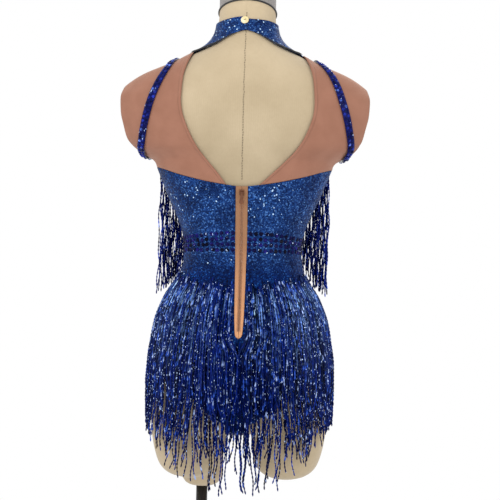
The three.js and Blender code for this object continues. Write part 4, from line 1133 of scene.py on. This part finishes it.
def button():
    """A turned button with a raised rim, and the thread in its slot."""
    profile = [
        (0, 0), (5.2, 0), (6.4, 0.5), (7, 1.3), (7, 2.1), (6.6, 2.8), (5.9, 3.05), (5.3, 2.75), (4.9, 2.35),
        (4.0, 2.5), (2.4, 2.75), (1.0, 2.85), (0, 2.87),
    ]
    angle = math.radians(BUTTON["angle"])
    out = outward(angle, BUTTON["z"])
    place = off_form(angle, BUTTON["z"], CLOTH + 0.4)
    piece = lathe("collar_button_turned", profile, "button", place, 48, out)
    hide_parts("collar_button")
    slot = place + out * 3.0 + np.array([[x, 0, 0.35 * x] for x in np.linspace(-2.2, 2.2, 9)])
    tube("button_thread", slot, 0.45, "thread", 6)


def collar_underside_shade():
    """A black cord under the collar's lower edge, for the dark underside of its fold and the painted shadow
    under it, which shows most towards the shoulders.
    """
    angle = np.linspace(20, 84, 60)
    z = collar_lower_at(angle) - 0.6
    # thicker towards the shoulders, where the painted shadow under the collar is widest
    thick = 0.35 + 1.1 * smooth((angle - 26) / 26) * (1 - smooth((angle - 68) / 14))
    for side, flip in SIDES.items():
        path = off_form(flip * np.radians(angle), z, CLOTH + 0.7)
        tube(f"collar_underside_shade_{side}", path, thick, "piping")


# ---- beaded fringe
BEAD = {"pitch": 7.0, "radius": 1.45, "sides": 4}
BEAD_ENDS = 0.5  # the share of its radius that a bead has where it meets the next, against 1 half way along
# lit is how much brighter the first beads are painted, a painted highlight at the top of each strand. ragged
# is the share by which the shortest strands are shorter.
HIP_ROWS = table(
    "middle side low_lift high_lift flare length side_length ragged opening strands lit",
    [
        (890, 901, 3.6, 5.2, 2.5, 228, 222, 0.12, 12.0, 340, 1.5),
        (838, 876, 3.0, 4.0, 2.5, 244, 232, 0.16, 11.5, 330, 0.5),
        (788, 866, 2.0, 2.6, 1.5, 258, 224, 0.30, 1.5, 335, 0.0),
    ],
)
HIP_PLACES = ("top", "middle", "low")
# How far the strands differ: in angle, root and distance from the form, at their ends and in their curl.
HIP_SPREAD = {"angle": 0.004, "root": 5.0, "depth": 1.6, "end": 4.5, "curl": 2.6}
NAVY = np.array(rgb(1, 2, 14))
ROYAL = np.array(rgb(14, 42, 138))
# SKY and SILVER beads are partly the beads' own colour and partly painted highlights.
SKY = np.array(rgb(42, 80, 180))
SILVER = np.array(rgb(160, 184, 235))
SKY_SHARE = 0.08
SILVER_SHARE = 0.02
# Painted highlight: beads near the top of a strand are coloured brighter, as if lit from above, fading down
# the strand.
LIT_BEADS = 7  # over about so many beads the brighter start of a strand fades
UNLIT_BEADS = 5  # and over so many it comes up, below the row's edge
TOP_HIGHLIGHT = np.array([0.45, 0.85, 1.7, 0.0])  # what the brightest bead gains
ARM_TINT = np.array([0.9, 0.95, 1.3, 1])


def bead_tints(strands, beads, lit=0.0):
    """A colour for each bead: navy to royal, with a few sky and silver beads that are partly the beads' own
    colour and partly painted highlights, and a painted highlight that fades down from the top of each strand.
    """
    share = 0.65 * random.random((strands, 1)) + 0.35 * random.random((strands, beads))
    draw = random.random((strands, beads))[..., None]
    tints = np.where(draw < SKY_SHARE, SKY, lerp(NAVY, ROYAL, share[..., None] ** 1.7))
    tints = np.where(draw < SILVER_SHARE, SILVER, tints)
    # painted highlight at the top of each strand
    strand = lit * random.random((strands, 1)) ** 1.5
    along = np.arange(beads)
    fade = np.exp(-along / LIT_BEADS) * smooth(along / UNLIT_BEADS)
    painted_highlight = strand * fade * random.random((strands, beads)) ** 2
    return np.clip(tints + painted_highlight[..., None] * TOP_HIGHLIGHT, 0, 1)


def strands_mesh(name, paths, tints, outs, radius):
    """Strings of beads, joined. paths holds each strand's points: two for every bead, and the last one."""
    strands, stations = paths.shape[:2]
    size = np.where(np.arange(stations) % 2, 1, BEAD_ENDS) * radius
    ahead = unit(np.gradient(paths, axis=1))
    across = unit(np.cross(ahead, outs[:, None]))
    round_path = rings(across, np.cross(across, ahead), BEAD["sides"])
    points = paths[:, :, None] + round_path * size[:, None, None]
    faces = grid_faces(BEAD["sides"], stations - 1)[0]
    offsets = np.arange(strands)[:, None, None] * stations * BEAD["sides"]
    each = np.repeat(tints, 2, axis=1)
    each = np.concatenate([each, each[:, -1:]], axis=1)
    colors = np.repeat(each, BEAD["sides"], axis=1).reshape(-1, 4)
    return make(
        name, points.reshape(-1, 3), (faces + offsets).reshape(-1, 4), "beads", None, colors, smoothed=False,
    )


def strand_steps(length):
    """How many beads a strand of this length has, and the share of it at each end and middle of a bead."""
    beads = int(length / BEAD["pitch"])
    return beads, np.linspace(0, 1, 2 * beads + 1)


def waves(steps, phase, *sizes):
    """Waves down each strand, from pairs of a size and how often it turns, with the strand's own phases."""
    return sum(size * np.sin(steps * often + start) for (size, often), start in zip(sizes, phase))


CLUMP = 0.085  # the angle a clump of strands takes up
CLUMP_SWAY = 6.5


def clump_sway(angle):
    """How far the ends of a clump lean to one side, in millimetres."""
    return CLUMP_SWAY * np.sin(np.floor(angle / CLUMP) * 5.3 + 1.0)


def clumped(angle, share, pull):
    """How far a strand is drawn sideways to the middle of its clump, in radians."""
    number = np.floor(angle / CLUMP)
    centre = (number + 0.5 + 0.3 * np.sin(number * 7.1)) * CLUMP
    return (centre - angle) * pull * share**2.2


def closing(angle, start, z):
    """How far the strands beside the zip are drawn in to the middle below its end, in radians."""
    off_middle = np.where(angle < HALF, angle, angle - TURN)[:, None]
    share = smooth((ZIP_BOTTOM + 12 - z) / 45)
    return -np.sign(off_middle) * start * share * np.exp(-(np.abs(off_middle) - start) / (2.2 * start))


def hip_row(index):
    """One row of the hip fringe, from one side of the zip round the front to the other."""
    row = {key: float(values[index]) for key, values in HIP_ROWS.items()}
    count = int(row["strands"])
    start = float(angle_of(row["opening"], row["middle"], False))
    angle = np.linspace(start, TURN - start, count) + HIP_SPREAD["angle"] * random.standard_normal(count)
    angle = np.clip(angle, start, TURN - start)
    aside = np.sin(angle) ** 2
    root = lerp(row["middle"], row["side"], aside) + HIP_SPREAD["root"] * random.standard_normal(count)
    length = lerp(row["length"], row["side_length"], aside)
    length = length * (1 - row["ragged"] * random.random(count) ** 1.8)
    beads, steps = strand_steps(row["length"])
    out = unit(outward(angle, root) * [1, 1, 0])
    along = np.stack([-out[:, 1], out[:, 0], 0 * out[:, 0]], -1)
    z = root[:, None] - length[:, None] * steps
    lift = CLOTH + lerp(row["low_lift"] * 0.35, row["high_lift"], smooth(steps * 6))
    lift = lift + HIP_SPREAD["depth"] * random.random((count, 1))
    drawn = clumped(angle[:, None], steps, 0.7 * smooth((steps - 0.35) * 1.5)) + closing(angle, start, z)
    paths = off_form(angle[:, None] + drawn, np.maximum(z, CROTCH_Z), lift)
    reach = np.einsum("sic,sc->si", paths, out)
    held = np.maximum.accumulate(reach, axis=1)
    paths += out[:, None] * (held - reach)[..., None]
    paths[..., 2] = z
    phase = random.random((2, count, 1)) * TURN
    wave = waves(steps, phase, (1.0, 9), (0.5, 21))
    curl = HIP_SPREAD["curl"] * np.sin(steps * 24 + phase[0]) * smooth((steps - 0.7) * 3)
    end = random.standard_normal((count, 1)) * HIP_SPREAD["end"] + clump_sway(angle)[:, None]
    paths += along[:, None] * (wave * smooth(steps * 3) + curl + end * steps**4)[..., None]
    swing = row["flare"] * random.random((count, 1)) * steps**2 + 0.5 * wave * steps
    paths += out[:, None] * np.maximum(swing, 0)[..., None]
    tints = bead_tints(count, beads, row["lit"])
    piece = strands_mesh(f"hip_beads_{HIP_PLACES[index]}", paths, tints, out, BEAD["radius"])
    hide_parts(f"hip_fringe_{HIP_PLACES[index]}")


ARM = {"strands": 60, "outer": 153.5, "inner": 104, "length": 228, "lift": 5.0, "depth": 8.0, "radius": 1.3}
ARM_SPREAD = {"root": 0.5, "length": 0.045, "end": 3.4}
HALTER_RISE = table("x z", [(105, 1175), (112, 1150), (121, 1134), (133, 1120), (147, 1108), (158, 1099)])
[halter_height_at] = curves(HALTER_RISE)


def arm_fringe(side, flip):
    """Strands from the halter's lower edge, which hang in front of the chest and beside the waist."""
    count = ARM["strands"]
    x = np.linspace(ARM["outer"], ARM["inner"], count) + ARM_SPREAD["root"] * random.standard_normal(count)
    root = halter_height_at(x)
    length = ARM["length"] * (1 + ARM_SPREAD["length"] * (2 * random.random(count) - 1))
    beads, steps = strand_steps(ARM["length"])
    z = root[:, None] - length[:, None] * steps
    layer = ARM["lift"] + ARM["depth"] * random.random((count, 1))
    begin = off_form(angle_of(x - 3, root, True), root, CLOTH + 2)[:, None, 1]
    x = x[:, None]
    chest = form_point(angle_of(np.minimum(x, half_width_at(z)), z, True), z)[..., 1]
    clear = np.where(x < half_width_at(z), chest + CLOTH, -np.inf)
    y = lerp(begin, np.maximum.accumulate(np.maximum(begin, clear), axis=1) + layer, smooth(steps * 8))
    phase = random.random((2, count, 1)) * TURN
    wave = waves(steps, phase, (2.0, 8), (1.4, 19))
    x = x + wave * smooth(steps * 3) + ARM_SPREAD["end"] * random.standard_normal((count, 1)) * steps**4
    y = y + np.sin(steps * 11 + phase[1]) * smooth(steps * 3)
    outs = np.tile([0.0, 1.0, 0.0], (count, 1))
    tints = bead_tints(count, beads) * ARM_TINT
    piece = strands_mesh(f"arm_beads_{side}", np.stack([flip * x, y, z], -1), tints, outs, ARM["radius"])
    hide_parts(f"arm_fringe_{side}")


# ---- dress form
TORSO_LOW = 700  # the torso's own mesh starts here, inside the brief; the remeshed lower part ends above it
LOWER_TOP = 722
CHEST_R = 130  # about the mean radius of the torso
LID = 0.02  # the size of the small hole left in the middle of a ring that is drawn in, against the ring's
VOXEL = 3.6


def neck_edge(y):
    return NECK_EDGE_Z - NECK_EDGE_SLOPE * (y - side_at(NECK_EDGE_Z))


def neck_edge_at(angle):
    first = form_point(angle, NECK_EDGE_Z)[..., 1]
    return neck_edge(form_point(angle, neck_edge(first))[..., 1])


def form_skin(angle, z):
    """The form's own surface, with its arms cut off inside the cuffs."""
    p = off_form(angle, z, -FORM_INSET)
    inside = (z > CUFFS["z"][0]) & (z < CUFFS["z"][-1])
    limit = np.where(inside, cuff_at(z) - CUFF_INSET, np.inf)
    p[..., 0] = np.clip(p[..., 0], -limit, limit)
    return p


def torso():
    """The form above the brief, with a fine groove down the middle of its back."""
    columns, rows = 180, 330
    angle = circle(columns)
    top = neck_edge_at(angle)
    z = lerp(float(TORSO_LOW), top[None], np.linspace(0, 1, rows + 1)[:, None])
    skin = form_skin(np.broadcast_to(angle, z.shape), z)
    x = skin[..., 0]
    groove = 0.5 * bell(x, 0.7) - 0.35 * bell(np.abs(x) - 2.2, 1.2)
    skin[..., 1] += groove * (skin[..., 1] < 0)
    lid_low = skin[:1] * [LID, LID, 1] + [0, float(side_at(TORSO_LOW)), 0]
    lid_top = skin[-1:] * [LID, LID, 0] + [0, float(side_at(NECK_EDGE_Z)), float(top.mean())]
    points = np.concatenate([lid_low, skin, lid_top])
    faces, corners = grid_faces(columns, len(points) - 1)
    uvs = corners * np.array([TURN * CHEST_R / columns, (top.mean() - TORSO_LOW) / rows])
    piece = make("form_torso", points.reshape(-1, 3), faces, "canvas", uvs)
    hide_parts("form_body")


def between(low, high, s):
    """A place from low to high for s from -1 to 1, on a section a little squarer than an ellipse."""
    return lerp(low, high, (1 + np.sign(s) * np.abs(s) ** THIGH_POWER) / 2)


def thigh_points(flip):
    """The rings of a thigh end. Its sections lie closest at its rounded lower end."""
    inner_at, outer_at, rear_at, fore_at = curves(THIGHS)
    low, high = THIGHS["z"][[0, -1]]
    z = lerp(low, high, np.linspace(0, 1, 50)[:, None] ** 1.6)
    a = circle(56)[None]
    x = between(inner_at(z), outer_at(z), np.sin(a))
    y = between(rear_at(z), fore_at(z), np.cos(a))
    return capped(np.stack([flip * x, y, np.broadcast_to(z, x.shape)], -1))


def capped(grid):
    """A grid of rings with each end drawn in to its middle."""
    ends = [lerp(ring, ring.mean(0), 1 - LID)[None] for ring in (grid[0], grid[-1])]
    return np.concatenate([ends[0], grid, ends[1]])


def lower_part():
    """Hips, thigh ends and pole socket, fused by a remesh and softened."""
    angle, z = np.meshgrid(circle(120), np.linspace(CROTCH_Z, LOWER_TOP, 24))
    hips = form_skin(angle, z)
    middle = np.array([0, float(side_at(CROTCH_Z)), CROTCH_Z])
    under = []
    for a in np.radians(np.linspace(88, 6, 16)):
        ring = lerp(middle, hips[0], math.cos(a))
        ring[:, 2] = CROTCH_Z - CROTCH_DROP * math.sin(a)
        under.append(ring)
    round_pole = rings(np.array([1, 0, 0]), np.array([0, 1, 0]), 64)
    socket = np.array([round_pole * r + (*POLE, z) for r, z in SOCKET])
    hip_grid = capped(np.concatenate([np.array(under), hips]))
    points, faces, start = [], [], 0
    for grid in (hip_grid, thigh_points(1), thigh_points(-1), socket):
        flat = grid.reshape(-1, 3)
        quads = grid_faces(grid.shape[1], len(grid) - 1)[0]
        faces.append(start + (quads if facing_out(flat, quads) else quads[:, ::-1]))
        points.append(flat)
        start += len(flat)
    piece = make("form_lower", np.concatenate(points), np.concatenate(faces), "canvas")
    remesh = piece.modifiers.new("fuse", "REMESH")
    remesh.mode = "VOXEL"
    remesh.voxel_size = VOXEL * MM
    soften = piece.modifiers.new("soften", "SMOOTH")
    soften.iterations = 6
    apply_modifiers(piece)
    for polygon in piece.data.polygons:
        polygon.use_smooth = True


def apply_modifiers(piece):
    """Writes a piece's modifiers into its mesh."""
    shown = piece.evaluated_get(bpy.context.evaluated_depsgraph_get())
    mesh = bpy.data.meshes.new_from_object(shown)
    piece.modifiers.clear()
    piece.data = mesh


def neck():
    """The felt cap of the neck, rounded at its top, and the piping round its lower edge."""
    angle = circle(128)
    edge = neck_edge_at(angle)
    layers = [
        off_form(angle, lerp(edge + SEAM_GAP, NECK_CAP_TOP - CAP_ROUND * up, up), -FORM_INSET)
        for up in (0, *np.linspace(0.06, 1, 16))
    ]
    for a in np.radians(np.linspace(15, 88, 6)):
        top = NECK_CAP_TOP - CAP_ROUND * (1 - math.sin(a))
        layers.append(off_form(angle, 0 * angle + top, -FORM_INSET - CAP_INSET * (1 - math.cos(a))))
    grid = capped(np.array(layers))
    faces = grid_faces(len(angle), len(grid) - 1)[0]
    cap = make("neck_cap_felt", grid.reshape(-1, 3), faces, "felt")
    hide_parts("form_neck_cap")
    path = off_form(angle, edge, SEAM_GAP - FORM_INSET + PIPING_R * 0.4)
    cord = tube("neck_piping", path, PIPING_R * 0.85, "piping", 10, closed=True)
    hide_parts("form_piping")


STITCH = 4.4
NECK_STITCH_Z = 1337


def seams():
    """Stitches down the middle of the form's back and round the base of its neck."""
    z = np.arange(1072, 1368, STITCH)
    back = off_form(BACK, z, -FORM_INSET + 0.15)
    back[:, 0] += 0.35 * random.standard_normal(len(z))
    angle = np.radians(np.arange(-42, 42, 2.4))
    neck_z = NECK_STITCH_Z + 0 * angle
    ring = off_form(angle, neck_z, -FORM_INSET + 0.05)
    centres = np.concatenate([back, ring])
    outs = np.concatenate([outward(BACK, z), outward(angle, neck_z)])
    along = unit(np.concatenate([np.tile([0.12, 0.0, 1.0], (len(back), 1)), level_way(angle)]))
    tints = np.ones((len(centres), 4))
    many("form_stitches", centres, outs, along, block(1.5, 0.55, 0, 0.35), tints, "thread")


def stand():
    """The pole, from the hub to the socket, and the round base with its hub."""
    low, high = POLE_ENDS
    pole = lathe("pole_tube", [(0, low), (POLE_R, low), (POLE_R, high), (0, high)], "black_steel", (*POLE, 0))
    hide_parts("stand_pole")
    plate = [
        (0, 0), (BASE_R - 1.5, 0), (BASE_R, 1.5), (BASE_R, 4.6), (BASE_R - 1, 6.7), (BASE_R - 3, BASE_HIGH),
        (0, BASE_HIGH),
    ]
    base = lathe("base_plate", plate, "black_steel", (0, 0, 0), 160)
    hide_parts("stand_base")
    hub = [(0, 0), (24, 0), (24, 1.5), (20.5, HUB_HIGH - 1.5), (19, HUB_HIGH), (0, HUB_HIGH)]
    lathe("base_hub", hub, "black_steel", (*POLE, BASE_HIGH - 1))


# ---- floor, light and camera, in metres
FLOOR_R = 1.9
FLOOR_Z = -0.0005
WORLD_LIGHT = 1.0
LAMPS_LOOK_AT = (0, 0, 1.0)
# Each lamp's name, place, size and power.
LAMPS = [
    ("key", (-1.3, -2.4, 2.3), (1.2, 1.6), 26),
    ("fill", (1.9, -1.9, 1.3), (1.4, 1.8), 10),
    ("rim", (0.4, 2.4, 2.4), (1.6, 1.2), 12),
]
CAMERA = {"side": 0.0132, "far": 2.4, "z": 0.95, "frame": 0.9, "roll": -1.25, "turn": 1.8}


def studio():
    """A pale round floor, a white world and three lamps that look at the middle of the costume."""
    pale, _, _ = fresh("pale_floor", Base_Color=(0.86, 0.86, 0.86, 1), Roughness=0.9)
    rim = [(FLOOR_R * math.cos(a), FLOOR_R * math.sin(a), FLOOR_Z) for a in circle(96)]
    disc = bpy.data.meshes.new("floor")
    disc.from_pydata(rim, [], [list(range(len(rim)))])
    disc.materials.append(pale)
    add("floor", disc)

    world = bpy.data.worlds.new("studio")
    world.use_nodes = True
    background = world.node_tree.nodes["Background"]
    background.inputs["Color"].default_value = WHITE
    background.inputs["Strength"].default_value = WORLD_LIGHT
    bpy.context.scene.world = world
    for name, place, size, power in LAMPS:
        light = bpy.data.lights.new(name, "AREA")
        light.shape = "RECTANGLE"
        light.size, light.size_y = size
        light.energy = power
        lamp = add(name, light)
        lamp.location = place
        aim = mathutils.Vector(LAMPS_LOOK_AT) - mathutils.Vector(place)
        lamp.rotation_euler = aim.to_track_quat("-Z", "Y").to_euler()


def camera():
    """The camera stands level behind the costume, a little round it and tilted a little about its view."""
    lens = bpy.data.cameras.new("camera")
    lens.angle = 2 * math.atan(CAMERA["frame"] / 2 / CAMERA["far"])
    made = add("camera", lens)
    turn = math.radians(CAMERA["turn"])
    right = (math.cos(turn), math.sin(turn))
    back = (math.sin(turn), -math.cos(turn))
    x, y = (CAMERA["side"] * r + CAMERA["far"] * b for r, b in zip(right, back))
    made.location = (x, y, CAMERA["z"])
    made.rotation_euler = (QUARTER, math.radians(CAMERA["roll"]), turn)
    bpy.context.scene.camera = made


bpy.context.scene.view_settings.view_transform = "Standard"
camera()
studio()
torso()
lower_part()
neck()
seams()
stand()
front()
backs()
gusset()
collars()
back_yokes()
front_yokes()
sleeves()
belt()
bands()
zip_tapes()
coil()
button()
collar_underside_shade()
for place in range(len(HIP_PLACES)):
    hip_row(place)
for side, flip in SIDES.items():
    arm_fringe(side, flip)
for metal_node in ("zip_slider", "zip_pull"):
    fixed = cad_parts[metal_node]
    fixed.data.materials.clear()
    fixed.data.materials.append(LOOKS["zip_metal"])
